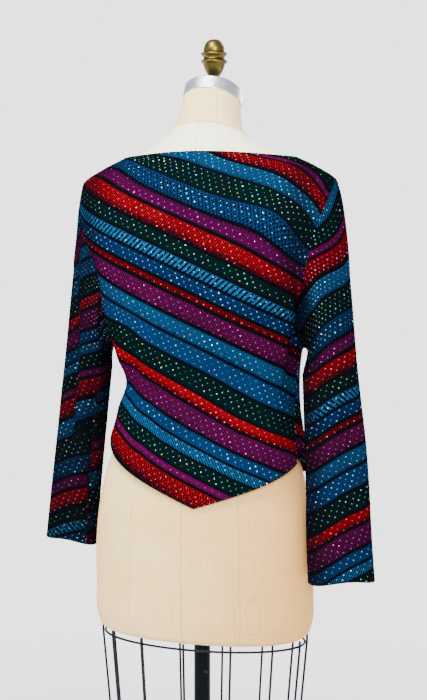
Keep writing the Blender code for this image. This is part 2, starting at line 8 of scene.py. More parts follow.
import bmesh
import bpy
import mathutils
import numpy as np
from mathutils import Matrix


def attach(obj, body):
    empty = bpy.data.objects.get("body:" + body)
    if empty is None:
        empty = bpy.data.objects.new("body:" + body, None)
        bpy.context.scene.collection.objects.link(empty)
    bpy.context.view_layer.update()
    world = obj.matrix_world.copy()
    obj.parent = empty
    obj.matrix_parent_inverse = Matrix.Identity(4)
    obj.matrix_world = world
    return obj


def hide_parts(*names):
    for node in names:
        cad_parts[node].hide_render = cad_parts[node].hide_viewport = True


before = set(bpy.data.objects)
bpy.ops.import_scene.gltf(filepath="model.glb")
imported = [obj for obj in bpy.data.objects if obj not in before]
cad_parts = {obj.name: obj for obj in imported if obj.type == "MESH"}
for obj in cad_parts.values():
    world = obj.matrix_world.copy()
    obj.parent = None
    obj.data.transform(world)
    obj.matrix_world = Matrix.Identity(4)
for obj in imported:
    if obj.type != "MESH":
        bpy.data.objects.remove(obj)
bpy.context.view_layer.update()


# Torso: a moulded shell padded and covered with fine linen, sewn in upright panels, with a tilted neck.
# A smoother, paler linen covers the shoulders up to the ring seam round the neck's foot. Its linen has
# yellowed, and water has left a faint tide mark on the right hip.
TORSO_BASE = 0.64
TORSO_COLUMNS = ("height", "half_width", "side_y", "back_y", "front_y", "square")
TORSO_SECTIONS = (
    (-0.012, 0.164, -0.008, 0.085, -0.100, 2.20),
    (-0.008, 0.170, -0.008, 0.090, -0.105, 2.20),
    (0.004, 0.175, -0.008, 0.094, -0.111, 2.20),
    (0.060, 0.178, -0.008, 0.097, -0.114, 2.20),
    (0.130, 0.178, -0.008, 0.098, -0.115, 2.20),
    (0.190, 0.172, -0.009, 0.096, -0.114, 2.20),
    (0.245, 0.160, -0.010, 0.087, -0.110, 2.20),
    (0.305, 0.139, -0.013, 0.073, -0.103, 2.15),
    (0.370, 0.118, -0.016, 0.063, -0.100, 2.10),
    (0.430, 0.125, -0.018, 0.070, -0.112, 2.15),
    (0.490, 0.144, -0.020, 0.080, -0.134, 2.20),
    (0.550, 0.157, -0.022, 0.086, -0.140, 2.25),
    (0.610, 0.170, -0.025, 0.084, -0.128, 2.25),
    (0.655, 0.187, -0.028, 0.074, -0.112, 2.20),
    (0.685, 0.196, -0.030, 0.064, -0.102, 2.15),
    (0.704, 0.195, -0.030, 0.055, -0.097, 2.10),
    (0.720, 0.174, -0.031, 0.045, -0.092, 2.05),
    (0.736, 0.139, -0.033, 0.035, -0.088, 2.00),
    (0.752, 0.094, -0.035, 0.025, -0.086, 2.00),
    (0.768, 0.066, -0.037, 0.017, -0.085, 2.00),
    (0.785, 0.053, -0.040, 0.010, -0.086, 2.00),
    (0.805, 0.048, -0.044, 0.001, -0.087, 2.00),
    (0.825, 0.046, -0.048, -0.007, -0.089, 2.00),
)
NECK_TILT = math.radians(27)
NECK_TILT_FROM, NECK_TILT_TO = 0.725, 0.795
NECK_SEAM, COVER_HEM = 0.7715, 0.601
UPRIGHT_SEAMS = (0.0, 60.0, 90.0, 120.0, 180.0, 240.0, 270.0, 300.0)
SEAM_DEPTH, SEAM_HALF = 0.0007, 0.0011


def read(columns, rows, name, at):
    """Smooth value of one table column at the heights: cubic spans whose slopes are the table's own."""
    table = np.array(sorted(rows))
    knots, values = table[:, 0], table[:, columns.index(name)]
    slopes = np.gradient(values, knots)
    at = np.clip(np.asarray(at, float), knots[0], knots[-1])
    left = np.clip(np.searchsorted(knots, at) - 1, 0, len(knots) - 2)
    gap = knots[left + 1] - knots[left]
    t = (at - knots[left]) / gap
    blend = t * t * (3 - 2 * t)
    start = (1 - blend) * values[left] + t * (1 - t) ** 2 * gap * slopes[left]
    return start + blend * values[left + 1] + t * t * (t - 1) * gap * slopes[left + 1]


def read_all(columns, rows, at):
    """Every column of a table but its first, read at the heights."""
    return [read(columns, rows, name, at) for name in columns[1:]]


def soft_step(low, high, at):
    """0 below low, 1 above high, and a smooth cubic between."""
    t = np.clip((at - low) / (high - low), 0.0, 1.0)
    return t * t * (3 - 2 * t)


def squared_oval(angle, half_width, side_y, back_y, front_y, square):
    """Circle point scaled to the oval's half width and depths, pushed out by its superellipse radius."""
    c, s = np.cos(angle), np.sin(angle)
    push = (np.abs(c) ** square + np.abs(s) ** square) ** (-1.0 / square)
    depth = np.where(s > 0, back_y - side_y, side_y - front_y)
    return half_width * push * c, side_y + depth * push * s


def torso_skin(degrees, height):
    """Oval of the torso at a height, drawn in by a narrow bell at each seam; rings tilt with the neck."""
    width, side, back, front, square = read_all(TORSO_COLUMNS, TORSO_SECTIONS, height)
    gap = np.min([np.abs((degrees - seam + 180) % 360 - 180) for seam in UPRIGHT_SEAMS], axis=0)
    across = np.radians(gap) * width
    groove = np.exp(-((across / SEAM_HALF) ** 2)) + np.exp(-(((height - NECK_SEAM) / SEAM_HALF) ** 2))
    shrink = SEAM_DEPTH * np.clip(groove, 0, 1)
    x, y = squared_oval(np.radians(degrees), width - shrink, side, back - shrink, front + shrink, square)
    tilt = math.tan(NECK_TILT) * soft_step(NECK_TILT_FROM, NECK_TILT_TO, height)
    return np.stack([x, y, TORSO_BASE + height + tilt * (y - side)], axis=-1)


def grid_of(*parts):
    """Grid of points, or of pairs, from its coordinates, each spread over the whole grid."""
    return np.stack(np.broadcast_arrays(*parts), axis=-1)


def joined_round(grid):
    """A grid with its first column again after its last."""
    return np.concatenate([grid, grid[:, :1]], axis=1)


def quads(grid):
    """Corner numbers of the quad between each four neighbours of a grid of numbers."""
    return np.stack([grid[:-1, :-1], grid[:-1, 1:], grid[1:, 1:], grid[1:, :-1]], axis=-1).reshape(-1, 4)


def new_piece(name, verts, faces, sharp=None):
    """Mesh object in the scene, flat faced, or smooth but for edges sharper than an angle in degrees."""
    mesh = bpy.data.meshes.new(name)
    mesh.from_pydata(verts.tolist(), [], faces)
    if sharp:
        mesh.shade_smooth()
        mesh.set_sharp_from_angle(angle=math.radians(sharp))
    piece = bpy.data.objects.new(name, mesh)
    bpy.context.scene.collection.objects.link(piece)
    return piece


def lay_uv(piece, name, corners):
    """Gives a piece a UV map from one pair for each corner of its faces."""
    layer = piece.data.uv_layers.new(name=name)
    layer.data.foreach_set("uv", corners.astype(np.float32).ravel())


def surface(name, points, close=(False, False), uv=None, sharp=40):
    """Mesh of a grid of points whose rows are rings: a quad between neighbours, and a fan on a closed end."""
    rows, cols = points.shape[:2]
    index = joined_round(np.arange(rows * cols).reshape(rows, cols))
    spots = np.arange(rows * (cols + 1)).reshape(rows, cols + 1)
    faces = quads(index).tolist()
    corners = [] if uv is None else [uv.reshape(-1, 2)[quads(spots)].reshape(-1, 2)]
    verts = [points.reshape(-1, 3)]
    for end, row in enumerate((0, rows - 1)):
        if close[end]:
            hub = rows * cols + len(verts) - 1
            verts.append(points[row].mean(axis=0, keepdims=True))
            one, other = (slice(1, None), slice(None, -1)) if end == 0 else (slice(None, -1), slice(1, None))
            faces += np.stack([index[row, one], index[row, other], np.full(cols, hub)], axis=-1).tolist()
            if uv is not None:
                p, q = uv[row, one], uv[row, other]
                corners.append(np.stack([p, q, 0.5 * (p + q)], axis=1).reshape(-1, 2))
    piece = new_piece(name, np.concatenate(verts), faces, sharp)
    if uv is not None:
        lay_uv(piece, "measure", np.concatenate(corners))
    return piece


def stand_for(piece, node):
    """Binds a piece to the one body, in place of a CAD node."""
    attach(piece, "root")
    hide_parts(node)


def paint(piece, name, roughness, metallic=0.0):
    """New material and record slot for a piece: its tree, Principled shader and Object coordinates."""
    material = bpy.data.materials.new(name)
    material.use_nodes = True
    shader = material.node_tree.nodes["Principled BSDF"]
    shader.inputs["Roughness"].default_value = roughness
    shader.inputs["Metallic"].default_value = metallic
    piece.data.materials.append(material)
    return material.node_tree, shader, put(material.node_tree, "ShaderNodeTexCoord", out=3)


def put(tree, kind, feeds=(), out=0, **settings):
    """Adds a node, sets its properties, joins or sets each (input, value) pair, and returns one output."""
    node = tree.nodes.new(kind)
    for key, value in settings.items():
        setattr(node, key, value)
    for place, feed in feeds:
        if isinstance(feed, bpy.types.NodeSocket):
            tree.links.new(feed, node.inputs[place])
        else:
            node.inputs[place].default_value = feed
    return node.outputs[out]


def maths(operation, *terms, clamp=False):
    """One Math node on numbers and sockets, in the tree of its sockets."""
    tree = next(term for term in terms if isinstance(term, bpy.types.NodeSocket)).id_data
    return put(tree, "ShaderNodeMath", list(enumerate(terms)), operation=operation, use_clamp=clamp)


def plus(a, b):
    """Sum of two terms."""
    return maths("ADD", a, b)


def minus(a, b):
    """First term less the second."""
    return maths("SUBTRACT", a, b)


def times(a, b):
    """Product of two terms."""
    return maths("MULTIPLY", a, b)


def over(a, b):
    """First term divided by the second."""
    return maths("DIVIDE", a, b)


def larger(a, b):
    """The larger of two terms."""
    return maths("MAXIMUM", a, b)


def span(value, low=0.0, high=1.0, start=0.0, end=1.0, kind="LINEAR"):
    """Value moved from the range low to high into the range start to end, and held inside it."""
    feeds = list(enumerate((value, low, high, start, end)))
    return put(value.id_data, "ShaderNodeMapRange", feeds, interpolation_type=kind)


def opaque(colour):
    """A colour of three numbers with an alpha of 1; one of four, or a socket, as it is."""
    return (*colour, 1.0)[:4] if isinstance(colour, tuple) else colour


def tones(share, low, high):
    """Two colours mixed by a share."""
    low, high = [opaque(tone) for tone in (low, high)]
    return put(share.id_data, "ShaderNodeMix", [(0, share), (6, low), (7, high)], out=2, data_type="RGBA")


def scaled(colour, factor):
    """A colour times a factor."""
    return put(colour.id_data, "ShaderNodeVectorMath", [(0, colour), ("Scale", factor)], operation="SCALE")


def bell_line(value, centre, half):
    """1 on the line where value equals centre, falling to 0 at half away."""
    away = maths("ABSOLUTE", minus(value, centre))
    return maths("SUBTRACT", 1.0, over(away, half), clamp=True)


def split(vector):
    """The X, Y and Z of a vector."""
    return tuple(put(vector.id_data, "ShaderNodeSeparateXYZ", [(0, vector)]).node.outputs)


def noise(place, scale, detail=2.0):
    """Noise at a scale, or at one scale for each axis where threads or brushing run one way."""
    if isinstance(scale, tuple):
        place, scale = put(place.id_data, "ShaderNodeMapping", [("Vector", place), ("Scale", scale)]), 1.0
    feeds = [("Vector", place), ("Scale", scale), ("Detail", detail)]
    return put(place.id_data, "ShaderNodeTexNoise", feeds)


def coat(shader, colour, height, distance, strength, roughness=None):
    """Feeds a colour, a roughness where one is given, and a height through a Bump node to a shader."""
    tree = shader.id_data
    tree.links.new(colour, shader.inputs["Base Color"])
    if roughness is not None:
        tree.links.new(roughness, shader.inputs["Roughness"])
    bump = put(tree, "ShaderNodeBump", [("Strength", strength), ("Distance", distance), ("Height", height)])
    tree.links.new(bump, shader.inputs["Normal"])


mottle = bpy.data.node_groups.new("mottle", "ShaderNodeTree")
mottle.interface.new_socket("Place", in_out="INPUT", socket_type="NodeSocketVector")
for socket in ("Scale", "Threshold", "Softness"):
    mottle.interface.new_socket(socket, in_out="INPUT", socket_type="NodeSocketFloat")
mottle.interface.new_socket("Mask", in_out="OUTPUT", socket_type="NodeSocketFloat")
way_in, way_out = mottle.nodes.new("NodeGroupInput"), mottle.nodes.new("NodeGroupOutput")
group_place, group_scale, threshold, softness = tuple(way_in.outputs)[:4]
grain = noise(group_place, group_scale, 5.0)
patch = span(grain, minus(threshold, softness), plus(threshold, softness), kind="SMOOTHSTEP")
mottle.links.new(patch, way_out.inputs[0])


def mottled(place, scale, threshold=0.5, softness=0.15):
    """The mottle group: a mask of soft-edged noise patches."""
    feeds = [("Place", place), ("Scale", scale), ("Threshold", threshold), ("Softness", softness)]
    return put(place.id_data, "ShaderNodeGroup", feeds, node_tree=mottle)


even = np.arange(0, 360, 2.5)
beside = np.array([-1.0, -0.6, -0.35, -0.15, 0.0, 0.15, 0.35, 0.6, 1.0])
torso_degrees = np.unique(np.round(np.concatenate([even, *[(s + beside) % 360 for s in UPRIGHT_SEAMS]]), 3))
near_seam = NECK_SEAM + np.array([-0.0025, -0.0016, -0.0008, 0.0, 0.0008, 0.0016, 0.0025])
rim, collar = np.linspace(-0.012, 0.004, 9), np.linspace(0.703, 0.825, 60)
body = np.linspace(0.010, 0.700, 116)
torso_heights = np.unique(np.round(np.concatenate([rim, body, collar, near_seam]), 5))
torso_points = torso_skin(torso_degrees[None, :], torso_heights[:, None])
turns = np.append(torso_degrees, 360.0) / 360.0
torso = surface("torso_linen", torso_points, close=(True, True), uv=grid_of(turns, torso_heights[:, None]))
stand_for(torso, "torso")

HIP_LINEN, HIP_YELLOWED, HIP_SIDE = (0.93, 0.66, 0.28), (0.88, 0.58, 0.21), (0.71, 0.34, 0.075)
COVER_LINEN, SEAM_SHADE, TIDE_BROWN = (0.97, 0.95, 0.68), (0.36, 0.25, 0.14), (0.52, 0.28, 0.09)
NECK_LINEN, NECK_YELLOWED = (0.95, 0.73, 0.35), (0.91, 0.67, 0.28)
# The hip darkens from the first of these x positions to the second.
HIP_SHADE = (0.05, -0.17)
# How dark each seam's line is, by its angle. The one at 0, where the UV map starts, stays plain.
SEAM_TONES = {60.0: 0.42, 90.0: 0.75, 120.0: 0.50, 180.0: 0.50, 240.0: 0.45, 270.0: 0.65, 300.0: 0.45}
tree, shader, place = paint(torso, "padded linen", 0.82)
measure = put(tree, "ShaderNodeUVMap", uv_map="measure")
turn, tall, _ = split(measure)
weave = plus(noise(measure, (900.0, 14.0, 1.0)), noise(measure, (26.0, 820.0, 1.0)))
yellowed = mottled(place, 7.0, 0.5, 0.22)
right_side = span(split(place)[0], *HIP_SHADE)
hip = tones(times(right_side, 0.85), tones(yellowed, HIP_LINEN, HIP_YELLOWED), HIP_SIDE)
skin_tone = tones(span(tall, COVER_HEM - 0.001, COVER_HEM + 0.001), hip, COVER_LINEN)
neck = span(tall, NECK_SEAM - 0.0003, NECK_SEAM + 0.0003)
skin_tone = tones(neck, skin_tone, tones(yellowed, NECK_LINEN, NECK_YELLOWED))
skin_tone = scaled(skin_tone, plus(1.0, times(minus(weave, 1.0), 0.42)))
seam_mask = times(bell_line(tall, NECK_SEAM, 0.0010), 0.55)
for seam, depth in SEAM_TONES.items():
    seam_mask = larger(seam_mask, times(bell_line(turn, seam / 360.0, 0.0011), depth))
skin_tone = tones(seam_mask, skin_tone, SEAM_SHADE)
# The tide mark is a wavering oval outline beside the right-hand seam, above the torso's lower edge. Its
# middle and halves are (share of a turn, height).
TIDE_MIDDLE, TIDE_HALVES = (0.3535, 0.036), (0.0125, 0.030)
mark = [over(minus(at, middle), half) for at, middle, half in zip((turn, tall), TIDE_MIDDLE, TIDE_HALVES)]
ring = maths("SQRT", plus(times(mark[0], mark[0]), times(mark[1], mark[1])))
ring = plus(ring, times(minus(noise(place, 55.0), 0.5), 1.1))
skin_tone = tones(times(bell_line(ring, 1.0, 0.11), 0.60), skin_tone, TIDE_BROWN)
coat(shader, skin_tone, weave, 0.0004, 0.5)


# Neck cap: a spun steel band with a flat top and a rolled upper edge, pressed over the tilted neck.
# It is brushed round and round, and its edges are rubbed bright.
NECK_HEIGHT, CAP_RADIUS, CAP_BAND, CAP_EDGE = 0.825, 0.047, 0.023, 0.003
SEAM_GAP = 0.0003


def turned(name, profile, steps=96, sharp=40):
    """A profile of (radius, height) turned about Z: radius times the circle, at each height."""
    profile = np.array(profile, float)
    turn = np.arange(steps) * (2 * math.pi / steps)
    radius, height = profile.T[..., None]
    length = np.concatenate([[0], np.cumsum(np.hypot(*np.diff(profile, axis=0).T))])
    uv = grid_of(np.linspace(0, 1, steps + 1), length[:, None])
    points = grid_of(radius * np.cos(turn), radius * np.sin(turn), height)
    return surface(name, points, (True, True), uv, sharp)


def carry(piece, tilt, place):
    """Tilts a piece's points about X and moves them to their place."""
    co = np.zeros(len(piece.data.vertices) * 3)
    piece.data.vertices.foreach_get("co", co)
    co = co.reshape(-1, 3)
    c, s = math.cos(tilt), math.sin(tilt)
    moved = np.stack([co[:, 0], c * co[:, 1] - s * co[:, 2], s * co[:, 1] + c * co[:, 2]], axis=-1) + place
    piece.data.vertices.foreach_set("co", moved.ravel())
    piece.data.update()


_, _, neck_back, neck_front, _ = read_all(TORSO_COLUMNS, TORSO_SECTIONS, NECK_HEIGHT)
neck_y = 0.5 * (neck_back + neck_front)
neck_rise = math.tan(NECK_TILT) * (neck_y - read(TORSO_COLUMNS, TORSO_SECTIONS, "side_y", NECK_HEIGHT))
neck_top = np.array([0.0, neck_y, TORSO_BASE + NECK_HEIGHT + neck_rise])
tilted_up = np.array([0.0, -math.sin(NECK_TILT), math.cos(NECK_TILT)])
# The profile runs from the band's turned-in lower edge up to the lip and in across the top, in metres.
cap_profile = [(CAP_RADIUS + out, up) for out, up in (
    (-0.0012, 0.0), (-0.0003, 0.0001), (0.0, 0.0006), (0.0002, 0.0012), (0.0, 0.0019))]
cap_profile += [(CAP_RADIUS, up) for up in np.linspace(0.0024, CAP_BAND - CAP_EDGE - 0.0006, 10)]
cap_profile += [
    (CAP_RADIUS - CAP_EDGE * (1 - math.sin(turn)), CAP_BAND - CAP_EDGE * (1 - math.cos(turn)))
    for turn in np.linspace(math.pi / 2, 0, 9)]
cap_profile += [(r, CAP_BAND + 0.0003 * math.cos(r * 400)) for r in (0.040, 0.034, 0.028, 0.020, 0.012)]
cap = turned("steel_neck_cap", cap_profile, 128)
carry(cap, NECK_TILT, neck_top + tilted_up * SEAM_GAP)
stand_for(cap, "neck_cap")

STEEL, STEEL_DULL = (0.74, 0.76, 0.77), (0.56, 0.58, 0.59)
BRUSH_LINE, SPECK = (0.42, 0.43, 0.44), (0.22, 0.20, 0.17)
tree, shader, place = paint(cap, "brushed steel", 0.34, 1.0)
brushing = noise(put(tree, "ShaderNodeUVMap", uv_map="measure"), (7.0, 5200.0, 1.0), 3.0)
dull = mottled(place, 38.0, 0.52, 0.12)
steel_tone = tones(times(brushing, 0.35), tones(dull, STEEL, STEEL_DULL), BRUSH_LINE)
steel_tone = tones(times(mottled(place, 210.0, 0.70, 0.03), 0.5), steel_tone, SPECK)
coat(shader, steel_tone, brushing, 0.0002, 0.5, plus(0.26, times(plus(dull, brushing), 0.16)))


# Knob and pin: cast brass turned on a lathe, with a cup, two rims and a domed crown. The brass has gone
# olive, darkest in the grooves and under the cup, and the pin stands in a slot in the cap.
STEM_RADIUS, STEM_LENGTH, KNOB_RADIUS = 0.007, 0.022, 0.021


def rounded(profile, between=6):
    """Smooth curve through (radius, height) points: a uniform Catmull-Rom spline."""
    p = np.array(profile, float)
    p = np.concatenate([2 * p[:1] - p[1:2], p, 2 * p[-1:] - p[-2:-1]])
    t = np.linspace(0, 1, between, endpoint=False)[None, :, None]
    a, b, c, d = p[:-3, None], p[1:-2, None], p[2:-1, None], p[3:, None]
    run = 0.5 * (2 * b + (c - a) * t + (2 * a - 5 * b + 4 * c - d) * t**2 + (3 * b - a - 3 * c + d) * t**3)
    return np.concatenate([run.reshape(-1, 2), p[-2:-1]])


def paint_like(piece, painted):
    """Gives a piece the material of another."""
    piece.data.materials.append(painted.data.materials[0])


cap_top = neck_top + tilted_up * (SEAM_GAP + CAP_BAND)
pin_height = np.linspace(0.0, STEM_LENGTH, 7)[:, None]
pin_turn = np.arange(40) * (2 * math.pi / 40)
pin_x, pin_y = STEM_RADIUS * np.cos(pin_turn), STEM_RADIUS * np.sin(pin_turn)
pin_z = pin_height + math.tan(NECK_TILT) * pin_y * (1 - pin_height / STEM_LENGTH)
pin_foot = cap_top + [0, 0, SEAM_GAP / math.cos(NECK_TILT)]
stem = surface("brass_pin", grid_of(pin_x, pin_y, pin_z) + pin_foot, (True, True))
stand_for(stem, "knob_stem")

# Each stretch of the profile is (share of the knob's radius, height), from its foot to its crown.
KNOB_PROFILE = {
    "cup": ((0.30, 0.0002), (0.42, 0.0006), (0.55, 0.0042), (0.70, 0.0102), (0.80, 0.0162), (0.845, 0.0196)),
    "low_rim": ((0.86, 0.0199), (0.955, 0.0208), (1.0, 0.0229), (0.965, 0.0246), (0.86, 0.0262)),
    "groove": ((0.835, 0.0267), (0.80, 0.0288), (0.84, 0.0308), (0.90, 0.0322)),
    "high_rim": ((0.92, 0.0326), (0.985, 0.0337), (1.0, 0.0352), (0.965, 0.0367), (0.84, 0.0378)),
    "crown": (
        (0.795, 0.0384), (0.80, 0.0410), (0.775, 0.0450), (0.70, 0.0496), (0.56, 0.0540), (0.34, 0.0571),
        (0.12, 0.0580)),
}
knob_curve = np.concatenate([rounded(np.array(run) * (KNOB_RADIUS, 1.0)) for run in KNOB_PROFILE.values()])
knob = turned("brass_knob", knob_curve, 112, sharp=60)
carry(knob, 0.0, cap_top + [0, 0, STEM_LENGTH + SEAM_GAP * (1 + 1 / math.cos(NECK_TILT))])
stand_for(knob, "knob")

BRASS, BRASS_OLIVE, BRASS_DIRT = (0.200, 0.142, 0.026), (0.070, 0.054, 0.016), (0.022, 0.016, 0.006)
# Where dirt has gathered on the knob: (height above its foot, half height).
DIRT_LINES = ((0.0288, 0.0045), (0.0385, 0.0030), (0.001, 0.013))
tree, shader, place = paint(knob, "aged brass", 0.36, 1.0)
paint_like(stem, knob)
lathe_lines = noise(place, (30.0, 30.0, 1900.0))
olive = mottled(place, 60.0, 0.46, 0.16)
knob_foot, tall = float(cap_top[2] + STEM_LENGTH), split(place)[2]
dirt = 0.0
for middle, half in DIRT_LINES:
    dirt = larger(dirt, bell_line(tall, knob_foot + middle, half))
brass_tone = tones(times(dirt, 0.62), tones(olive, BRASS, BRASS_OLIVE), BRASS_DIRT)
coat(shader, brass_tone, lathe_lines, 0.0002, 0.4, plus(0.27, times(olive, 0.22)))


# Wire skirt: two hoops of drawn wire and fourteen upright wires welded outside them, all dipped in
# black enamel. The uprights run on above the upper hoop into the torso's rim.
RING_DROP, WIRE_RADIUS, SKIRT_DEPTH, SKIRT_TAPER = 0.022, 0.0012, 0.260, 0.55
RING_HALF_WIDTH, RING_BACK, RING_FRONT = 0.166, 0.084, -0.099
WIRE_COUNT, DIPPED_RADIUS = 14, 0.0018


def skirt_line(angle, drop, outset=0.0):
    """Ellipse of the wire skirt, which shrinks evenly as it drops from the upper hoop."""
    shrink = 1.0 - SKIRT_TAPER * drop
    x = (RING_HALF_WIDTH * shrink + outset) * np.cos(angle)
    depth = 0.5 * (RING_BACK - RING_FRONT) * shrink + outset
    y = 0.5 * (RING_BACK + RING_FRONT) + depth * np.sin(angle)
    return grid_of(x, y, TORSO_BASE - RING_DROP - drop)


def unit(vectors):
    """Vectors divided by their own length."""
    return vectors / np.linalg.norm(vectors, axis=-1, keepdims=True)


def run_length(points, axis=0):
    """Length run along the points of a line, or of each line of a grid, from its first point."""
    start = np.take(points, [0], axis=axis)
    return np.cumsum(np.linalg.norm(np.diff(points, axis=axis, prepend=start), axis=-1), axis=axis)


def tube(name, path, radius, loop=False, up=(0.0, 0.0, 1.0), sides=12):
    """A round section carried along a path: each ring lies in the plane square to the path there."""
    ahead = np.roll(path, -1, axis=0) - np.roll(path, 1, axis=0) if loop else np.gradient(path, axis=0)
    ahead = unit(ahead)
    side = unit(np.cross(ahead, up))
    top = np.cross(side, ahead)
    turn = np.arange(sides)[:, None] * (2 * math.pi / sides)
    points = path[:, None] + radius * (side[:, None] * np.cos(turn) + top[:, None] * np.sin(turn))
    if loop:
        points = np.concatenate([points, points[:1]])
    uv = grid_of(np.linspace(0, 1, sides + 1), run_length(points.mean(axis=1))[:, None])
    piece = surface(name, points[:, ::-1], (not loop, not loop), uv)
    if loop:
        weld(piece)
    return piece


def weld(piece, reach=0.00002):
    """Merges vertices that lie on each other, so a loop's two end rings are one."""
    shape = bmesh.new()
    shape.from_mesh(piece.data)
    bmesh.ops.remove_doubles(shape, verts=shape.verts, dist=reach)
    shape.to_mesh(piece.data)
    shape.free()


hoop_turn = np.arange(180) * (2 * math.pi / 180)
skirt = []
for name, node, drop in (("upper", "skirt_ring_top", 0.0), ("lower", "skirt_ring_low", SKIRT_DEPTH)):
    skirt.append(tube(f"{name}_hoop", skirt_line(hoop_turn, drop), DIPPED_RADIUS, loop=True))
    stand_for(skirt[-1], node)

# The uprights lie outside the hoops, just clear of them, and end under the torso's rim.
beside_hoop = 2 * DIPPED_RADIUS + SEAM_GAP
rim_z = TORSO_BASE + TORSO_SECTIONS[0][0] - SEAM_GAP
drops = np.linspace(TORSO_BASE - RING_DROP - rim_z, SKIRT_DEPTH + 2 * WIRE_RADIUS, 60)
for k in range(WIRE_COUNT):
    angle = 2 * math.pi * (k + 0.5) / WIRE_COUNT
    path = skirt_line(angle, np.maximum(drops, 0.0), beside_hoop)
    path[:, 2] = np.minimum(TORSO_BASE - RING_DROP - drops, rim_z)
    radial = (math.cos(angle), math.sin(angle), 0.0)
    skirt.append(tube(f"upright_wire_{k + 1:02d}", path, DIPPED_RADIUS, up=radial))
    stand_for(skirt[-1], f"skirt_wire_{k + 1:02d}")

ENAMEL, ENAMEL_WORN, ENAMEL_CHIP = (0.006, 0.007, 0.011), (0.012, 0.014, 0.021), (0.10, 0.085, 0.070)
tree, shader, place = paint(skirt[0], "black wire enamel", 0.34)
shader.inputs["Specular IOR Level"].default_value = 0.05
for piece in skirt[1:]:
    paint_like(piece, skirt[0])
chips = mottled(place, 260.0, 0.66, 0.03)
enamel_tone = tones(times(chips, 0.7), tones(mottled(place, 40.0), ENAMEL, ENAMEL_WORN), ENAMEL_CHIP)
coat(shader, enamel_tone, noise(place, 700.0), 0.0002, 0.3, plus(0.30, times(chips, 0.35)))


# Stand: a drawn steel tube in black enamel, standing in the hub of a heavy cast-iron foot. The foot
# isn't in the photograph; it is a plain dished disc with a rounded rim, painted black over the casting.
POST_RADIUS, FOOT_RADIUS, HUB_RADIUS, HUB_HEIGHT, RIM_HEIGHT = 0.013, 0.190, 0.028, 0.060, 0.010
post_low, post_high = HUB_HEIGHT + SEAM_GAP, rim_z
post_profile = [(POST_RADIUS - 0.0006, post_low), (POST_RADIUS, post_low + 0.0008)]
post_profile += [(POST_RADIUS, z) for z in np.linspace(post_low + 0.004, post_high - 0.004, 60)]
post_profile += [(POST_RADIUS, post_high - 0.0008), (POST_RADIUS - 0.0006, post_high)]
post = turned("enamel_post", post_profile, 64)
stand_for(post, "post")

# The dish climbs with the 2.2nd power of the way in from the rim, then meets the hub's upright side.
foot_profile = [(FOOT_RADIUS + out, z) for out, z in (
    (-0.004, 0.0), (-0.0012, 0.0012), (0.0, 0.004), (0.0, RIM_HEIGHT - 0.002), (-0.001, RIM_HEIGHT - 0.0005))]
foot_profile += [
    (FOOT_RADIUS + (HUB_RADIUS - FOOT_RADIUS) * way, RIM_HEIGHT + 0.45 * (HUB_HEIGHT - RIM_HEIGHT) * way**2.2)
    for way in np.linspace(0.02, 1, 36)]
foot_profile += [(HUB_RADIUS, z) for z in np.linspace(0.036, HUB_HEIGHT - 0.003, 8)]
foot_profile += [(HUB_RADIUS - 0.0009, HUB_HEIGHT - 0.0009), (HUB_RADIUS - 0.003, HUB_HEIGHT)]
foot_profile += [(POST_RADIUS + 0.002, HUB_HEIGHT)]
foot = turned("iron_foot", foot_profile, 144, sharp=32)
stand_for(foot, "foot")

IRON, IRON_RUBBED = (0.016, 0.017, 0.019), (0.026, 0.025, 0.024)
POST_BLACK, POST_DRAWN, POST_SCUFF = (0.0012, 0.0022, 0.0028), (0.0034, 0.0054, 0.0064), (0.085, 0.080, 0.075)
tree, shader, place = paint(foot, "painted iron", 0.5)
rubbed = mottled(place, 30.0, 0.58, 0.20)
iron_tone = tones(rubbed, IRON, IRON_RUBBED)
coat(shader, iron_tone, noise(place, 420.0, 4.0), 0.0006, 0.5, plus(0.42, times(rubbed, 0.2)))

tree, shader, place = paint(post, "post enamel", 0.28)
shader.inputs["Specular IOR Level"].default_value = 0.04
draw_lines = noise(place, (600.0, 600.0, 5.0))
scuffs = mottled(place, 90.0, 0.68, 0.04)
post_tone = tones(times(scuffs, 0.5), tones(draw_lines, POST_BLACK, POST_DRAWN), POST_SCUFF)
coat(shader, post_tone, draw_lines, 0.0002, 0.3, plus(0.25, times(scuffs, 0.3)))


# Sweater's back and front: two panels of fine knit, worked in slanting stripes with black rows between,
# each cut to a point at its hem and joined at the sides. They hang on the form's shoulders and bust.
CLOTH, FORM_CLEARANCE = 0.002, 0.0010
BODY_COLUMNS = ("height", "left", "right", "side_y", "back_y", "front_y", "square")
BODY_SECTIONS = (
    (0.150, 0.184, 0.188, -0.009, 0.102, -0.122, 2.3),
    (0.200, 0.178, 0.181, -0.010, 0.100, -0.120, 2.3),
    (0.250, 0.168, 0.172, -0.011, 0.096, -0.120, 2.3),
    (0.300, 0.152, 0.161, -0.012, 0.084, -0.117, 2.3),
    (0.340, 0.138, 0.154, -0.014, 0.077, -0.116, 2.3),
    (0.380, 0.126, 0.151, -0.016, 0.076, -0.120, 2.3),
    (0.430, 0.144, 0.152, -0.018, 0.084, -0.133, 2.4),
    (0.490, 0.157, 0.166, -0.020, 0.094, -0.150, 2.6),
    (0.540, 0.168, 0.184, -0.023, 0.099, -0.155, 2.7),
    (0.600, 0.190, 0.198, -0.026, 0.097, -0.144, 2.9),
    (0.650, 0.205, 0.205, -0.029, 0.087, -0.126, 2.8),
    (0.685, 0.209, 0.209, -0.030, 0.073, -0.112, 2.5),
    (0.703, 0.205, 0.206, -0.030, 0.064, -0.105, 2.3),
    (0.718, 0.182, 0.184, -0.031, 0.055, -0.100, 2.2),
    (0.733, 0.148, 0.152, -0.032, 0.042, -0.095, 2.1),
    (0.748, 0.116, 0.120, -0.033, 0.033, -0.093, 2.0),
)
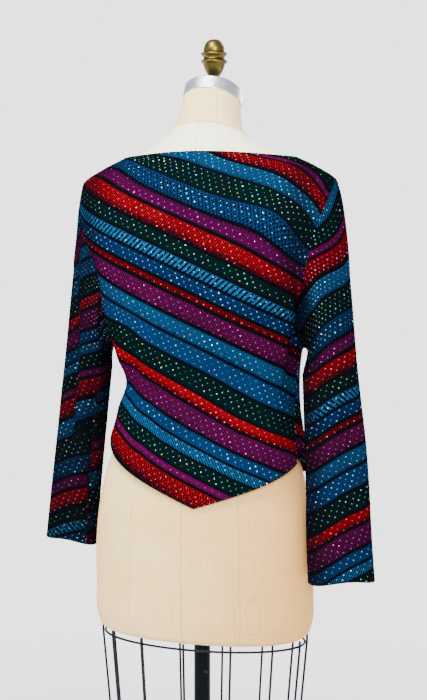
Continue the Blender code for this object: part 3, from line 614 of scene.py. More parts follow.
BACK_POINT_ANGLE, FRONT_POINT_ANGLE = 96.5, 270.0
HEM_BACK_POINT, HEM_FRONT_POINT, HEM_LEFT_SEAM, HEM_RIGHT_SEAM = 0.203, 0.205, 0.325, 0.268
FRONT_HEM_LIFT, SEAM_FROM_AXIS = 0.008, 0.17
UNDERARM, SHOULDER = 0.440, 0.703
ARMHOLE_MIDDLE, ARMHOLE_HALF = 0.5 * (UNDERARM + SHOULDER), 0.5 * (SHOULDER - UNDERARM)
NECKLINE_BACK, NECKLINE_SIDE, NECKLINE_FRONT = 0.745, 0.737, 0.722
ARMHOLE_BACK_LEFT, ARMHOLE_BACK_RIGHT, ARMHOLE_FRONT, ARMHOLE_ROUNDNESS = 35.0, 31.0, 26.0, 1.2
RIGHT_SEAM_LEAN, RIGHT_UNDERARM_SWING = 19.0, 8.0
# Cells of a panel's grid from hem to underarm, up the armhole, and from the shoulder to the neckline.
ARMHOLE_CELLS = 72
PANEL_CELLS = (62, ARMHOLE_CELLS, 13)
# Each fold is (angle, height, half angle, half length, lift, lean).
BODY_FOLDS = (
    (153.0, 0.480, 6.0, 0.090, 0.0050, -15.0),
    (166.0, 0.460, 6.0, 0.080, -0.0075, -15.0),
    (36.0, 0.505, 8.0, 0.045, 0.0050, 60.0),
    (52.0, 0.415, 5.0, 0.020, -0.0040, 120.0),
    (38.0, 0.425, 6.0, 0.026, 0.0050, 120.0),
    (66.0, 0.372, 9.0, 0.014, -0.0025, 0.0),
    (128.0, 0.400, 8.0, 0.050, -0.0030, -90.0),
    (118.0, 0.640, 9.0, 0.050, 0.0025, -150.0),
    (20.0, 0.350, 9.0, 0.030, 0.0040, 100.0),
    (232.0, 0.430, 8.0, 0.060, 0.0050, 60.0),
    (308.0, 0.430, 8.0, 0.060, 0.0050, -60.0),
    (250.0, 0.360, 7.0, 0.050, -0.0035, 90.0),
    (290.0, 0.360, 7.0, 0.050, -0.0035, -90.0),
    (246.0, 0.540, 17.0, 0.050, 0.0060, 0.0),
    (294.0, 0.540, 17.0, 0.050, 0.0060, 0.0),
    (158.0, 0.500, 4.2, 0.055, -0.0150, -230.0),
    (147.0, 0.500, 7.0, 0.075, 0.0040, -90.0),
    (158.0, 0.395, 5.0, 0.050, -0.0035, 40.0),
    (64.0, 0.378, 4.0, 0.008, -0.0022, 60.0),
    (44.0, 0.395, 4.0, 0.016, -0.0030, 160.0),
    (104.0, 0.385, 9.0, 0.030, -0.0022, -220.0),
    (80.0, 0.330, 8.0, 0.030, 0.0020, 120.0),
    (118.0, 0.290, 7.0, 0.040, -0.0020, -60.0),
    (262.0, 0.400, 6.0, 0.040, -0.0028, 130.0),
    (282.0, 0.330, 8.0, 0.050, 0.0026, -50.0),
    (215.0, 0.500, 6.0, 0.060, -0.0040, 110.0),
    (327.0, 0.495, 6.0, 0.055, -0.0045, -110.0),
)


def folds(rows, degrees, height):
    """Sum of soft ridges and troughs: each is a bell across its leaning line times a bell along it."""
    total = np.zeros(np.broadcast(degrees, height).shape)
    for turn, middle, half_turn, half_length, lift, lean in rows:
        across = (degrees - turn - lean * (height - middle) + 180.0) % 360.0 - 180.0
        total = total + lift * np.exp(-((across / half_turn) ** 2) - ((height - middle) / half_length) ** 2)
    return total


def right_seam(height):
    """Angle of the right side seam, swung forward at the underarm and leaning to the back at the hem."""
    down = np.clip((UNDERARM - height) / (UNDERARM - HEM_RIGHT_SEAM), 0.0, 1.0)
    swing = RIGHT_UNDERARM_SWING * (1 - soft_step(UNDERARM, 0.60, height)) * (1 - down) ** 2
    return 180.0 + swing - RIGHT_SEAM_LEAN * down


def hem_height(panel, degrees):
    """Height of the pointed hem: it rises evenly in angle from the point to the side seams."""
    if panel == "back":
        corners = (0.0, BACK_POINT_ANGLE, right_seam(HEM_RIGHT_SEAM))
        return np.interp(degrees, corners, (HEM_LEFT_SEAM, HEM_BACK_POINT, HEM_RIGHT_SEAM))
    side = HEM_RIGHT_SEAM + FRONT_HEM_LIFT
    corners = (right_seam(side), FRONT_POINT_ANGLE, 360.0)
    return np.interp(degrees, corners, (side, HEM_FRONT_POINT, HEM_LEFT_SEAM))


def neckline_height(degrees):
    """Height of the boat neckline: the sine squared of the angle, from the sides to back and front."""
    lift = np.sin(np.radians(degrees))
    return NECKLINE_SIDE + (np.where(lift > 0, NECKLINE_BACK, NECKLINE_FRONT) - NECKLINE_SIDE) * lift**2


def body_shape(degrees, height):
    """Squared oval of the cloth at a height, with its folds along the radius."""
    degrees, height = np.broadcast_arrays(np.asarray(degrees, float), np.asarray(height, float))
    angle = np.radians(degrees)
    left, right, side, back, front, square = read_all(BODY_COLUMNS, BODY_SECTIONS, height)
    x, y = squared_oval(angle, np.where(np.cos(angle) > 0, left, right), side, back, front, square)
    lift = folds(BODY_FOLDS, degrees, height)
    return np.stack([x + lift * np.cos(angle), y + lift * np.sin(angle), TORSO_BASE + height], axis=-1)


def skin_level(points):
    """1 on the torso's skin and more outside: the superellipse radius over the section at that height."""
    x, y, z = points[..., 0], points[..., 1], points[..., 2] - TORSO_BASE
    height = z
    for _ in range(4):
        side = read(TORSO_COLUMNS, TORSO_SECTIONS, "side_y", height)
        height = z - math.tan(NECK_TILT) * soft_step(NECK_TILT_FROM, NECK_TILT_TO, height) * (y - side)
    width, side, back, front, square = read_all(TORSO_COLUMNS, TORSO_SECTIONS, height)
    depth = np.where(y > side, back - side, side - front)
    return (np.abs(x / width) ** square + np.abs((y - side) / depth) ** square) ** (1.0 / square)


def laid_on(points, normals, reach):
    """Moves points nearer than reach to the skin along their normals: distance is level over its slope."""
    step = 0.0004
    level = skin_level(points)
    steps = step * np.eye(3)
    slope = [(skin_level(points + way) - skin_level(points - way)) / (2 * step) for way in steps]
    distance = (level - 1.0) / np.sqrt(sum(part**2 for part in slope))
    return points + normals * np.clip(reach - distance, 0.0, 0.02)[..., None]


def body_cloth(degrees, height):
    """Outer points of the body cloth laid on the form, and the normals of its shape."""
    across = body_shape(degrees + 0.4, height) - body_shape(degrees - 0.4, height)
    upward = body_shape(degrees, height + 0.0015) - body_shape(degrees, height - 0.0015)
    normal = unit(np.cross(across, upward))
    return laid_on(body_shape(degrees, height), normal, FORM_CLEARANCE + CLOTH), normal


def armhole_opening(turn):
    """Share of the armhole's half angle at a turn round it: a power of the cosine."""
    return np.abs(np.cos(np.radians(turn))) ** ARMHOLE_ROUNDNESS


def row_height(row, hem, neckline):
    """Height of a grid row: up to 1 it climbs from hem to underarm, to 2 the armhole, to 3 to the neck."""
    beside = ARMHOLE_MIDDLE + ARMHOLE_HALF * np.sin(np.radians(np.clip(row - 1, 0, 1) * 180 - 90))
    below = hem + (UNDERARM - hem) * np.clip(row, 0, 1)
    above = SHOULDER + (neckline - SHOULDER) * np.clip(row - 2, 0, 1)
    return np.where(row < 1, below, np.where(row <= 2, beside, above))


def panel_angles(panel, half_columns):
    """Angle and height of a panel's grid, with a column on its hem's point and its sides on the armholes."""
    low, arm, top = PANEL_CELLS
    parts = np.linspace(0, 1, low, endpoint=False), np.linspace(1, 2, arm, endpoint=False)
    row = np.concatenate([*parts, np.linspace(2, 3, top + 1)])
    hem_side = HEM_RIGHT_SEAM + (0.0 if panel == "back" else FRONT_HEM_LIFT)
    seam = right_seam(row_height(row, hem_side, NECKLINE_SIDE))
    if panel == "back":
        first, point, last = 0 * row, BACK_POINT_ANGLE, seam
        open_first, open_last = ARMHOLE_BACK_LEFT, ARMHOLE_BACK_RIGHT
    else:
        first, point, last = seam, FRONT_POINT_ANGLE, 0 * row + 360.0
        open_first, open_last = ARMHOLE_FRONT, ARMHOLE_FRONT
    opening = np.where((row < 1) | (row > 2), 0.0, armhole_opening(np.clip(row - 1, 0, 1) * 180 - 90))
    gap = math.degrees(0.5 * SEAM_GAP / SEAM_FROM_AXIS)
    low_angle = (first + gap + open_first * opening)[:, None]
    high_angle = (last - gap - open_last * opening)[:, None]
    share = np.concatenate([
        np.linspace(0, 0.5, half_columns, endpoint=False), np.linspace(0.5, 1, half_columns + 1)])
    before = low_angle + (point - low_angle) * share * 2
    after = point + (high_angle - point) * (share * 2 - 1)
    degrees = np.where(share < 0.5, before, after)
    return degrees, row_height(row[:, None], hem_height(panel, degrees), neckline_height(degrees))


def cloth_wall(name, outer, inner, cut, painted_shade, around=False):
    """A closed wall between two grids of points: both faces and the rim between them, with the cut as UV.

    Painted shade is how far the knit's colour is darkened towards black at each point, from 0 to 1: shade
    painted into the folds, the sides and the sleeves.
    """
    count = len(outer[0]) * len(outer)
    face = np.arange(count).reshape(outer.shape[:2])
    spot = np.arange(cut.shape[0] * cut.shape[1]).reshape(cut.shape[:2])

    def wall(grid, beyond):
        borders = [grid[0], grid[-1][::-1]] + ([] if around else [grid[::-1, 0], grid[:, -1]])
        rim = [np.stack([n[1:], n[:-1], n[:-1] + beyond, n[1:] + beyond], axis=-1) for n in borders]
        return np.concatenate([quads(grid), quads(grid + beyond)[:, ::-1], *rim])

    faces = wall(joined_round(face) if around else face, count).tolist()
    piece = new_piece(name, np.concatenate([outer.reshape(-1, 3), inner.reshape(-1, 3)]), faces, 60)
    lay_uv(piece, "cut", cut.reshape(-1, 2)[wall(spot, 0)])
    # Painted shade is stored as a point attribute, the same on both faces of the wall.
    painted_shading = piece.data.attributes.new("painted_shade", "FLOAT", "POINT")
    painted_shading.data.foreach_set("value", np.tile(painted_shade.astype(np.float32).ravel(), 2))
    return piece


# The stripes are laid down on each panel's own cut, along the cloth: across is measured from its middle
# to the wearer's left, and up from the cut's level, just above the underarm. DRAPE_BACK lists where they
# slip from straight: (across, up, half across, half up, amount).
STRIPE_SLOPE, STRIPE_COSINE, STRIPE_SINE = 0.45, 0.91, 0.41
CUT_LOWEST, CUT_HIGHEST, CUT_LEVEL, CUT_RISE = 0.19, 0.755, 0.45, 0.0025
CUT_REACH, CUT_TURN = 100, 0.5
DRAPE_BACK = (
    (-0.189, 0.213, 0.076, 0.050, 0.060),
    (-0.211, 0.227, 0.076, 0.070, -0.090),
    (-0.191, 0.284, 0.100, 0.120, 0.035),
    (-0.120, -0.100, 0.100, 0.080, -0.012),
    (0.130, 0.330, 0.055, 0.060, 0.028),
    (0.100, 0.020, 0.030, 0.030, 0.008),
)
# Each panel's half columns, its middle angle, how far its stripes are raised, and its drape.
PANELS = {"back": (76, 90.0, 0.01 * STRIPE_SLOPE, DRAPE_BACK), "front": (70, 270.0, 0.165, ())}


def panel_cut(degrees, height, middle):
    """Arc from the panel's middle, and length up it from the cut's level, at each angle and height."""
    turns = np.linspace(middle - CUT_REACH, middle + CUT_REACH, round(2 * CUT_REACH / CUT_TURN) + 1)
    heights = np.linspace(CUT_LOWEST, CUT_HIGHEST, round((CUT_HIGHEST - CUT_LOWEST) / CUT_RISE) + 1)
    shape = body_shape(*np.meshgrid(turns, heights))
    arc, rise = run_length(shape, 1), run_length(shape, 0)
    arc = arc - arc[:, len(turns) // 2, None]
    rise = rise - rise[round((CUT_LEVEL - CUT_LOWEST) / CUT_RISE)]
    i = np.clip((degrees - turns[0]) / CUT_TURN, 0, len(turns) - 1.01)
    j = np.clip((height - CUT_LOWEST) / CUT_RISE, 0, len(heights) - 1.01)
    i0, j0 = i.astype(int), j.astype(int)
    fi, fj = i - i0, j - j0

    def blend(table):
        low = table[j0, i0] * (1 - fi) + table[j0, i0 + 1] * fi
        high = table[j0 + 1, i0] * (1 - fi) + table[j0 + 1, i0 + 1] * fi
        return low * (1 - fj) + high * fj

    return blend(arc), blend(rise)


def slipped(rows, across, up):
    """Sum of the drape's bells."""
    return sum(
        lift * np.exp(-(((across - x) / half_x) ** 2) - ((up - y) / half_y) ** 2)
        for x, y, half_x, half_y, lift in rows)


# Painted shade is deepest in the fold beside each armhole, a bell across it, and grows towards the sides,
# where the cloth turns away from the light.
FOLD_SHADE, FOLD_ARC, FOLD_HALF, FOLD_RISE = 0.8, 0.180, 0.034, (-0.06, 0.02)
MIDDLE_SHADE, SIDE_SHADE, SIDE_ARC = 0.12, 0.38, (0.11, 0.19)
panels, panel_grids = {}, {}
for name, (half_columns, middle, raised, drape) in PANELS.items():
    degrees, height = panel_angles(name, half_columns)
    outer, normal = body_cloth(degrees, height)
    inner = laid_on(outer - normal * CLOTH, normal, 0.8 * FORM_CLEARANCE)
    arc, up = panel_cut(degrees, height, middle)
    stripe = up + STRIPE_SLOPE * arc + raised - slipped(drape, -arc, up)
    cut = grid_of(STRIPE_SINE * stripe - arc / STRIPE_COSINE, stripe)
    # Painted shade: a dark bell along the fold beside each armhole, and darker cloth towards the panel's
    # sides.
    painted_shade = FOLD_SHADE * np.exp(-(((np.abs(arc) - FOLD_ARC) / FOLD_HALF) ** 2)) * soft_step(*FOLD_RISE, up)
    painted_shade = np.maximum(painted_shade, MIDDLE_SHADE + SIDE_SHADE * soft_step(*SIDE_ARC, np.abs(arc)))
    panels[name] = cloth_wall(f"knit_{name}", outer, inner, cut, painted_shade)
    panel_grids[name] = (outer, normal, cut, painted_shade)
    stand_for(panels[name], name)

# One repeat is twenty stripes of yarn, each under a black row. Widths are in millimetres up the cloth;
# the last word is how the stripe is worked.
YARN = {
    "bottle": (0.0003, 0.0062, 0.0060), "magenta": (0.068, 0.0001, 0.037), "plum": (0.040, 0.0001, 0.026),
    "scarlet": (0.185, 0.0001, 0.0028), "wine": (0.110, 0.0001, 0.0020), "teal": (0.0024, 0.060, 0.150),
    "lagoon": (0.0018, 0.039, 0.102), "cobalt": (0.0008, 0.022, 0.074), "deep": (0.0006, 0.014, 0.055),
}
REPEAT_MM = (
    ("bottle", 23.5, 3.5, "plain"), ("magenta", 11.0, 4.7, "plain"), ("scarlet", 32.0, 5.0, "chevron"),
    ("lagoon", 31.0, 3.3, "check"), ("bottle", 36.0, 2.0, "plain"), ("cobalt", 29.4, 5.0, "scales"),
    ("plum", 19.0, 6.0, "plain"), ("scarlet", 26.6, 4.0, "slash"), ("bottle", 21.0, 4.4, "plain"),
    ("teal", 17.3, 4.0, "bars"), ("deep", 21.0, 4.3, "check"), ("wine", 10.0, 4.7, "chevron"),
    ("magenta", 29.3, 5.0, "slash"), ("lagoon", 25.7, 4.3, "rows"), ("cobalt", 31.0, 4.0, "faint"),
    ("bottle", 32.7, 4.0, "plain"), ("scarlet", 19.3, 4.0, "rows"), ("magenta", 32.7, 4.0, "slash"),
    ("cobalt", 20.0, 4.0, "faint"), ("teal", 16.7, 2.6, "counter"),
)
BLACK, FIRST_STRIPE = (0.0020, 0.0018, 0.0030), 0.4047
WALE, COURSE = 0.0034, 0.0029
# Shares of slash, rows and check; of scales, bars, chevron and (as alpha) counter-slanted bars.
WORKED = {
    "plain": ((0, 0, 0.45), (0, 0, 0, 0)), "faint": ((0.28, 0.10, 0), (0, 0, 0, 0)),
    "slash": ((0.85, 0, 0), (0, 0, 0, 0)), "rows": ((0, 0.55, 0.25), (0, 0, 0, 0)),
    "check": ((0, 0, 0.75), (0, 0, 0, 0)), "scales": ((0, 0, 0), (0.95, 0, 0, 0)),
    "bars": ((0, 0, 0), (0, 1, 0, 0)), "chevron": ((0, 0, 0), (0, 0, 1, 0)),
    "counter": ((0, 0, 0), (0, 0, 0, 1)),
}
# How thickly black flecks crowd the lower edge of some stripes.
LOW_CROWDING = {"scarlet": 0.56, "wine": 0.50, "magenta": 0.40, "lagoon": 0.36, "deep": 0.36}
yarns, widths, blacks, workings = zip(*REPEAT_MM)
stripe_widths = 0.001 * np.array(widths)
stripe_ends = np.cumsum(stripe_widths + 0.001 * np.array(blacks))
stripe_starts = np.concatenate([[0.0], stripe_ends[:-1]])
REPEAT = float(stripe_ends[-1])

tree, shader, place = paint(panels["back"], "striped metallic knit", 0.62)
shader.inputs["Specular IOR Level"].default_value = 0.0
cut_place = put(tree, "ShaderNodeUVMap", uv_map="cut")
along, up, _ = split(cut_place)


def ramp(value, stops, interpolation="LINEAR"):
    """Colour ramp through (position, colour) stops."""
    node = value.id_data.nodes.new("ShaderNodeValToRGB")
    node.color_ramp.interpolation = interpolation
    band = node.color_ramp.elements
    band[0].position, band[0].color = stops[0][0], opaque(stops[0][1])
    band.remove(band[1])
    for position, colour in stops[1:]:
        band.new(position).color = opaque(colour)
    value.id_data.links.new(value, node.inputs[0])
    return node.outputs[0]


def wave(period, phase=0.0, of=along):
    """Sine of a length over its period, with a phase in turns added."""
    return maths("SINE", times(plus(over(of, period), phase), 2 * math.pi))


def gaps(value, threshold, softness=0.25):
    """Dark share of a wave: 0 above the threshold and 1 well below it."""
    return span(value, threshold + softness, threshold - softness)


# The stripes' edges step with the stitches and wander a little.
STITCH_STEP, WANDER = 0.0007, 0.0022
ragged = plus(times(wave(WALE), STITCH_STEP), times(minus(noise(place, 260.0), 0.5), WANDER))
share = maths("FRACT", over(minus(FIRST_STRIPE, plus(up, ragged)), REPEAT))

# Each ramp takes five stripes, stretched over its whole length, so that its steps stay fine.
yarn_tone = BLACK
for first in range(0, len(REPEAT_MM), 5):
    begin, end, stops = stripe_starts[first], stripe_ends[first + 4], [(0.0, BLACK)]
    for yarn, start, width in list(zip(yarns, stripe_starts - begin, stripe_widths))[first:first + 5]:
        edges = (start + 0.0003) / (end - begin), (start + width - 0.0004) / (end - begin)
        stops += [(edges[0], YARN[yarn]), (edges[1], BLACK)]
    tone = ramp(span(share, begin / REPEAT, end / REPEAT), stops, "CONSTANT")
    yarn_tone = tones(maths("GREATER_THAN", share, begin / REPEAT), yarn_tone, tone)
works = [
    ramp(share, [(start / REPEAT, WORKED[how][k]) for start, how in zip(stripe_starts, workings)], "CONSTANT")
    for k in (0, 1)]
slash_share, rows_share, check_share = split(works[0])
scales_share, bars_share, chevron_share = split(works[1])
counter_share = works[1].node.outputs["Alpha"]

# Black stitches show between the coloured ones in each way of working: (share, wave, threshold).
broken = noise(cut_place, (420.0, 420.0, 1.0), 1.0)
shells = times(wave(0.0066, over(up, 0.030)), wave(0.0078, of=up))
zigzag = maths("PINGPONG", over(up, 0.0075), 1.0)
patterns = (
    (slash_share, plus(wave(0.0036, over(up, 0.020)), times(broken, 1.2)), 0.62),
    (rows_share, wave(COURSE, of=up), -0.30),
    (check_share, larger(wave(0.0033), plus(wave(0.0048, of=up), -0.2)), 0.0),
    (scales_share, plus(shells, times(wave(0.0033), 0.35)), -0.05),
    (bars_share, wave(0.0078, over(up, 0.0184)), -0.20),
    (chevron_share, plus(wave(0.0046, zigzag), times(broken, 1.3)), 0.55),
    (counter_share, plus(wave(0.0056, over(up, -0.0047)), times(broken, 0.4)), 0.0),
)
shading = [(0.0, 0.0)]
for yarn, start, width in zip(yarns, stripe_starts, stripe_widths):
    if yarn in LOW_CROWDING:
        upper, low = (start + 0.35 * width) / REPEAT, (start + width) / REPEAT
        shading += [(upper, 0.12), (low + 0.001, LOW_CROWDING[yarn]), (low + 0.005, 0.0)]
crowding = ramp(share, [(at, (level, level, level)) for at, level in shading])
FLECK_WIDE, FLECK_TALL, FLECK_LEAN = 0.0016, 0.0040, 0.0090
fleck_x, fleck_y = plus(over(along, FLECK_WIDE), over(up, FLECK_LEAN)), over(up, FLECK_TALL)
fleck = noise(put(tree, "ShaderNodeCombineXYZ", [(0, fleck_x), (1, fleck_y)]), 1.0, 1.0)
dark = span(plus(fleck, crowding), 0.80, 0.98)
for worked, pattern, threshold in patterns:
    dark = larger(dark, times(worked, gaps(pattern, threshold)))

# Painted glints brighten the metallic yarn stitch by stitch; rubbed patches are blacker, and painted shade
# blackens the yarn in the folds, at the sides and on the sleeves.
# Painted highlight: the glint mask scales the yarn's colour from 0.55 to 1.7 times, standing in for the
# metallic yarn's glints.
glint = mottled(cut_place, 620.0, 0.50, 0.18)
yarn_tone = scaled(yarn_tone, span(glint, start=0.55, end=1.70))
yarn_tone = tones(times(mottled(place, 16.0, 0.5, 0.25), 0.22), yarn_tone, BLACK)
# Painted shade: this attribute darkens the yarn towards black where shade falls on the cloth.
painted_shade = put(tree, "ShaderNodeAttribute", out=2, attribute_name="painted_shade", attribute_type="GEOMETRY")
yarn_tone = tones(times(painted_shade, 0.80), yarn_tone, BLACK)
stitches = plus(times(wave(WALE), 0.35), times(wave(COURSE, of=up), 0.35))
relief, knit_rough = plus(stitches, minus(glint, dark)), plus(0.46, times(minus(1.0, glint), 0.28))
coat(shader, tones(dark, yarn_tone, BLACK), relief, 0.00035, 0.7, knit_rough)
paint_like(panels["front"], panels["back"])


# Sleeves: long set-in sleeves of the same knit, its stripes running the other way, seamed underneath and
# left open at the cuff. They hang from the armholes and stand away from the body lower down.
SLEEVE_COLUMNS = ("height", "centre_x", "centre_y", "half_long", "half_short")
SLEEVE_LEFT = (
    (0.115, 0.2400, -0.031, 0.0430, 0.0300),
    (0.180, 0.2345, -0.031, 0.0412, 0.0305),
    (0.240, 0.2275, -0.030, 0.0405, 0.0315),
    (0.310, 0.2185, -0.028, 0.0400, 0.0330),
    (0.360, 0.2120, -0.026, 0.0398, 0.0350),
    (0.400, 0.2067, -0.025, 0.0395, 0.0370),
)
SLEEVE_RIGHT = (
    (0.090, -0.2328, 0.020, 0.0512, 0.0200),
    (0.160, -0.2280, 0.018, 0.0502, 0.0215),
    (0.230, -0.2245, 0.014, 0.0486, 0.0240),
    (0.300, -0.2190, 0.009, 0.0472, 0.0270),
    (0.350, -0.2140, 0.005, 0.0450, 0.0300),
    (0.400, -0.2080, -0.002, 0.0430, 0.0340),
)
SLEEVE_TURN = math.radians(19.5)
CAP_ROWS, ARM_ROWS = 72, 104
# The column of a sleeve's grid on the back of the arm, where its turn is 0.
BACK_COLUMN = ARMHOLE_CELLS // 2
SLEEVE_FOLDS_LEFT = (
    (22.0, 0.360, 13.0, 0.110, -0.0070, 30.0),
    (0.0, 0.350, 14.0, 0.100, 0.0030, 30.0),
    (-34.0, 0.250, 12.0, 0.070, -0.0030, 60.0),
    (60.0, 0.180, 14.0, 0.035, -0.0030, 0.0),
    (175.0, 0.330, 12.0, 0.070, -0.0040, 40.0),
)
SLEEVE_FOLDS_RIGHT = (
    (-38.0, 0.420, 12.0, 0.060, -0.0040, -40.0),
    (30.0, 0.330, 16.0, 0.050, -0.0025, 90.0),
    (10.0, 0.190, 16.0, 0.045, -0.0020, -60.0),
    (190.0, 0.320, 14.0, 0.070, -0.0035, 40.0),
)
CUFF_REACH, CUFF_WAVE = 0.045, 0.0022
# The sleeve head stands proud of the back seam low on the armhole, most on the right.
SLEEVE_PUFF, PUFF_TURN, PUFF_HALF = {1: 0.015, -1: 0.060}, -38.0, 34.0
# How far a sleeve's first spans run on from the armhole at the shoulder and how much less under the arm,
# how they fall and lean out at the shoulder, and how far out they swing under the arm.
LEAVE, LEAVE_LESS, FALL, LEAN_OUT, SWING_OUT = 0.040, 0.020, 0.07, 0.35, 0.055
# How far the spans run before the upper arm's ring, under the arm, and how much more at the shoulder.
ARRIVE, ARRIVE_MORE = 0.040, 0.16
# The rows lie closer near the armhole, by this power.
ROW_CROWDING = 1.35
# Where a sleeve's stripes start, how they slope, and the place on its cloth, (across, level), where they
# start. They are drawn in a little along the arm.
SLEEVE_LAY = {"left": (-0.206, 0.45, 0.04, 0.228), "right": (0.2907, -0.47, 0.01, 0.4333)}
SLEEVE_DRAW = 0.955
DRAPE_RIGHT_SLEEVE = ((0.062, 0.560, 0.070, 0.100, -0.028),)
# The left sleeve's seam has swung to the back of the arm: two heights, and its turn at each.
LEFT_SEAM = ((0.36, 0.44), (-33.0, -90.0))
# Depth of the cloth hidden beside the left upper arm, the turns and heights it ends between, and its lean.
HIDDEN_DEPTH, HIDDEN_TURNS, HIDDEN_HEIGHTS, HIDDEN_LEAN = 0.025, (19.0, 25.0), (0.27, 0.33), 30
INSIDE_ARM = (0.005, 0.05)


def armhole_ring(side):
    """Points, body normals and ways out round an armhole, from the underarm (-90) by the back (0)."""
    turn = np.linspace(-90, 270, 2 * ARMHOLE_CELLS, endpoint=False)
    back_half = ARMHOLE_BACK_LEFT if side > 0 else ARMHOLE_BACK_RIGHT
    half = np.where(turn < 90, back_half, -ARMHOLE_FRONT) * armhole_opening(turn)
    height = ARMHOLE_MIDDLE + ARMHOLE_HALF * np.sin(np.radians(turn))
    points, normals = body_cloth(half if side > 0 else right_seam(height) - half, height)
    away = np.cross(normals, np.roll(points, -1, axis=0) - np.roll(points, 1, axis=0)) * side
    return turn, points, normals, unit(away)


def sleeve_ring(side, turn, height, table, fold_rows):
    """Oval about the arm's line at a height, turned to the camera, with its folds."""
    centre_x, centre_y, half_long, half_short = read_all(SLEEVE_COLUMNS, table, height)
    lift = folds(fold_rows, turn, height)
    across = (half_long + lift) * np.sin(np.radians(turn))
    behind = (half_short + lift) * np.cos(np.radians(turn))
    long_x, long_y = side * math.cos(SLEEVE_TURN), side * math.sin(SLEEVE_TURN)
    x = centre_x + across * long_x - side * behind * long_y
    y = centre_y + across * long_y + side * behind * long_x
    return grid_of(x, y, TORSO_BASE + height)


def sleeve_grid(side, table, fold_rows, cuff_tilt):
    """Cubic spans from the armhole to the upper arm's ring, then rings down to the cuff; and the normals.

    The spans leave the armhole along the cloth's way out, falling more at the shoulder than under the arm.
    """
    turn, start, body_normal, away = armhole_ring(side)
    around = np.radians(turn)
    top, cuff = table[-1][0], table[0][0]
    ring, lower = [sleeve_ring(side, turn, height, table, fold_rows) for height in (top, top - 0.01)]
    down_arm = (lower - ring) / 0.01
    under = 0.5 - 0.5 * np.sin(around)
    leave = away * (LEAVE - LEAVE_LESS * under)[:, None]
    leave += (down_arm + [side * LEAN_OUT, 0.0, 0.0]) * (FALL * (1 - under) ** 2)[:, None]
    leave[:, 0] += side * SWING_OUT * under**3
    leave += body_normal * (SLEEVE_PUFF[side] * np.exp(-(((turn - PUFF_TURN) / PUFF_HALF) ** 2)))[:, None]
    arrive = down_arm * (ARRIVE + ARRIVE_MORE * (1 - under))[:, None]
    begin = start + away * SEAM_GAP
    t = (np.arange(CAP_ROWS + 1) / CAP_ROWS)[:, None, None] ** ROW_CROWDING
    blend = t * t * (3 - 2 * t)
    cap_part = (1 - blend) * begin + blend * ring + t * (1 - t) ** 2 * leave + t * t * (t - 1) * arrive
    t = np.arange(1, ARM_ROWS + 1)[:, None] / ARM_ROWS
    arm_part = sleeve_ring(side, turn[None], top + (cuff - top) * t, table, fold_rows)
    arm_part[..., 2] += t**2 * cuff_tilt * CUFF_REACH * np.sin(around)
    arm_part[..., 2] += t**6 * CUFF_WAVE * np.sin(3 * around + 1.0)
    outer = np.concatenate([cap_part, arm_part])
    beside = np.roll(outer, -1, axis=1) - np.roll(outer, 1, axis=1)
    normal = unit(np.cross(beside, np.gradient(outer, axis=0)) * side)
    normal[0] = body_normal
    return turn, outer, normal


# Each sleeve's name, side, table, folds, cuff tilt, painted shade, and how much more painted shade it has
# inside the arm, beside the body.
sleeves, sleeve_grids = {}, {}
for name, side, table, fold_rows, tilt, painted_shade, inside in (
    ("left", 1, SLEEVE_LEFT, SLEEVE_FOLDS_LEFT, 0.15, 0.85, 0.25),
    ("right", -1, SLEEVE_RIGHT, SLEEVE_FOLDS_RIGHT, 0.055, 0.50, 0.6),
):
    turn, outer, normal = sleeve_grid(side, table, fold_rows, tilt)
    closed = joined_round(outer)
    round_it, down_it = run_length(closed, 1), run_length(closed, 0)
    outward, up_it = round_it - round_it[:, BACK_COLUMN, None], down_it[-1] - down_it
    if name == "left":
        # A hidden fold takes up cloth beside the upper arm. Past the seam the stripes are one round lower.
        turns, height = np.append(turn, 270.0), closed[..., 2] - TORSO_BASE
        seam_turn = np.interp(height, *LEFT_SEAM)
        past_seam = soft_step(seam_turn - 1.0, seam_turn + 1.0, turns)
        fold_turn = turns - HIDDEN_LEAN * (height - LEFT_SEAM[0][0])
        hidden = HIDDEN_DEPTH * (1 - soft_step(*HIDDEN_TURNS, fold_turn)) * soft_step(*HIDDEN_HEIGHTS, height)
        moved = STRIPE_SLOPE * round_it[:, -1:] * (1 - past_seam) - hidden
    else:
        moved = -slipped(DRAPE_RIGHT_SLEEVE, outward, up_it)
    start, slope, across, level = SLEEVE_LAY[name]
    stripe = start + (up_it + slope * (outward - across) - level + moved) / SLEEVE_DRAW
    cut = grid_of(STRIPE_SINE * stripe - side * outward / STRIPE_COSINE, stripe)
    # Painted shade: the inside of the arm, next to the body, is painted darker.
    painted_shade = painted_shade + inside * soft_step(*INSIDE_ARM, -outward[:, :-1])
    # The right sleeve's turns run the other way, so its columns are reversed to keep its faces outward.
    faced = outer, outer - normal * CLOTH, painted_shade
    if side < 0:
        faced = [np.roll(grid[:, ::-1], 1, axis=1) for grid in faced]
    sleeves[name] = cloth_wall(f"knit_sleeve_{name}", *faced[:2], cut[:, ::side], faced[2], around=True)
    sleeve_grids[name] = (outer, normal, cut, painted_shade)
    stand_for(sleeves[name], f"sleeve_{name}")
    paint_like(sleeves[name], panels["back"])


# Rolled edges: neck, hem and cuffs are each finished with a narrow roll of black stocking stitch that curls
# over the cut edge.
EDGE_RADIUS = 0.00135


def edge_line(outer, normal, row):
    """Middle of a wall's rim along one row of its grid."""
    return outer[row] - 0.5 * CLOTH * normal[row]


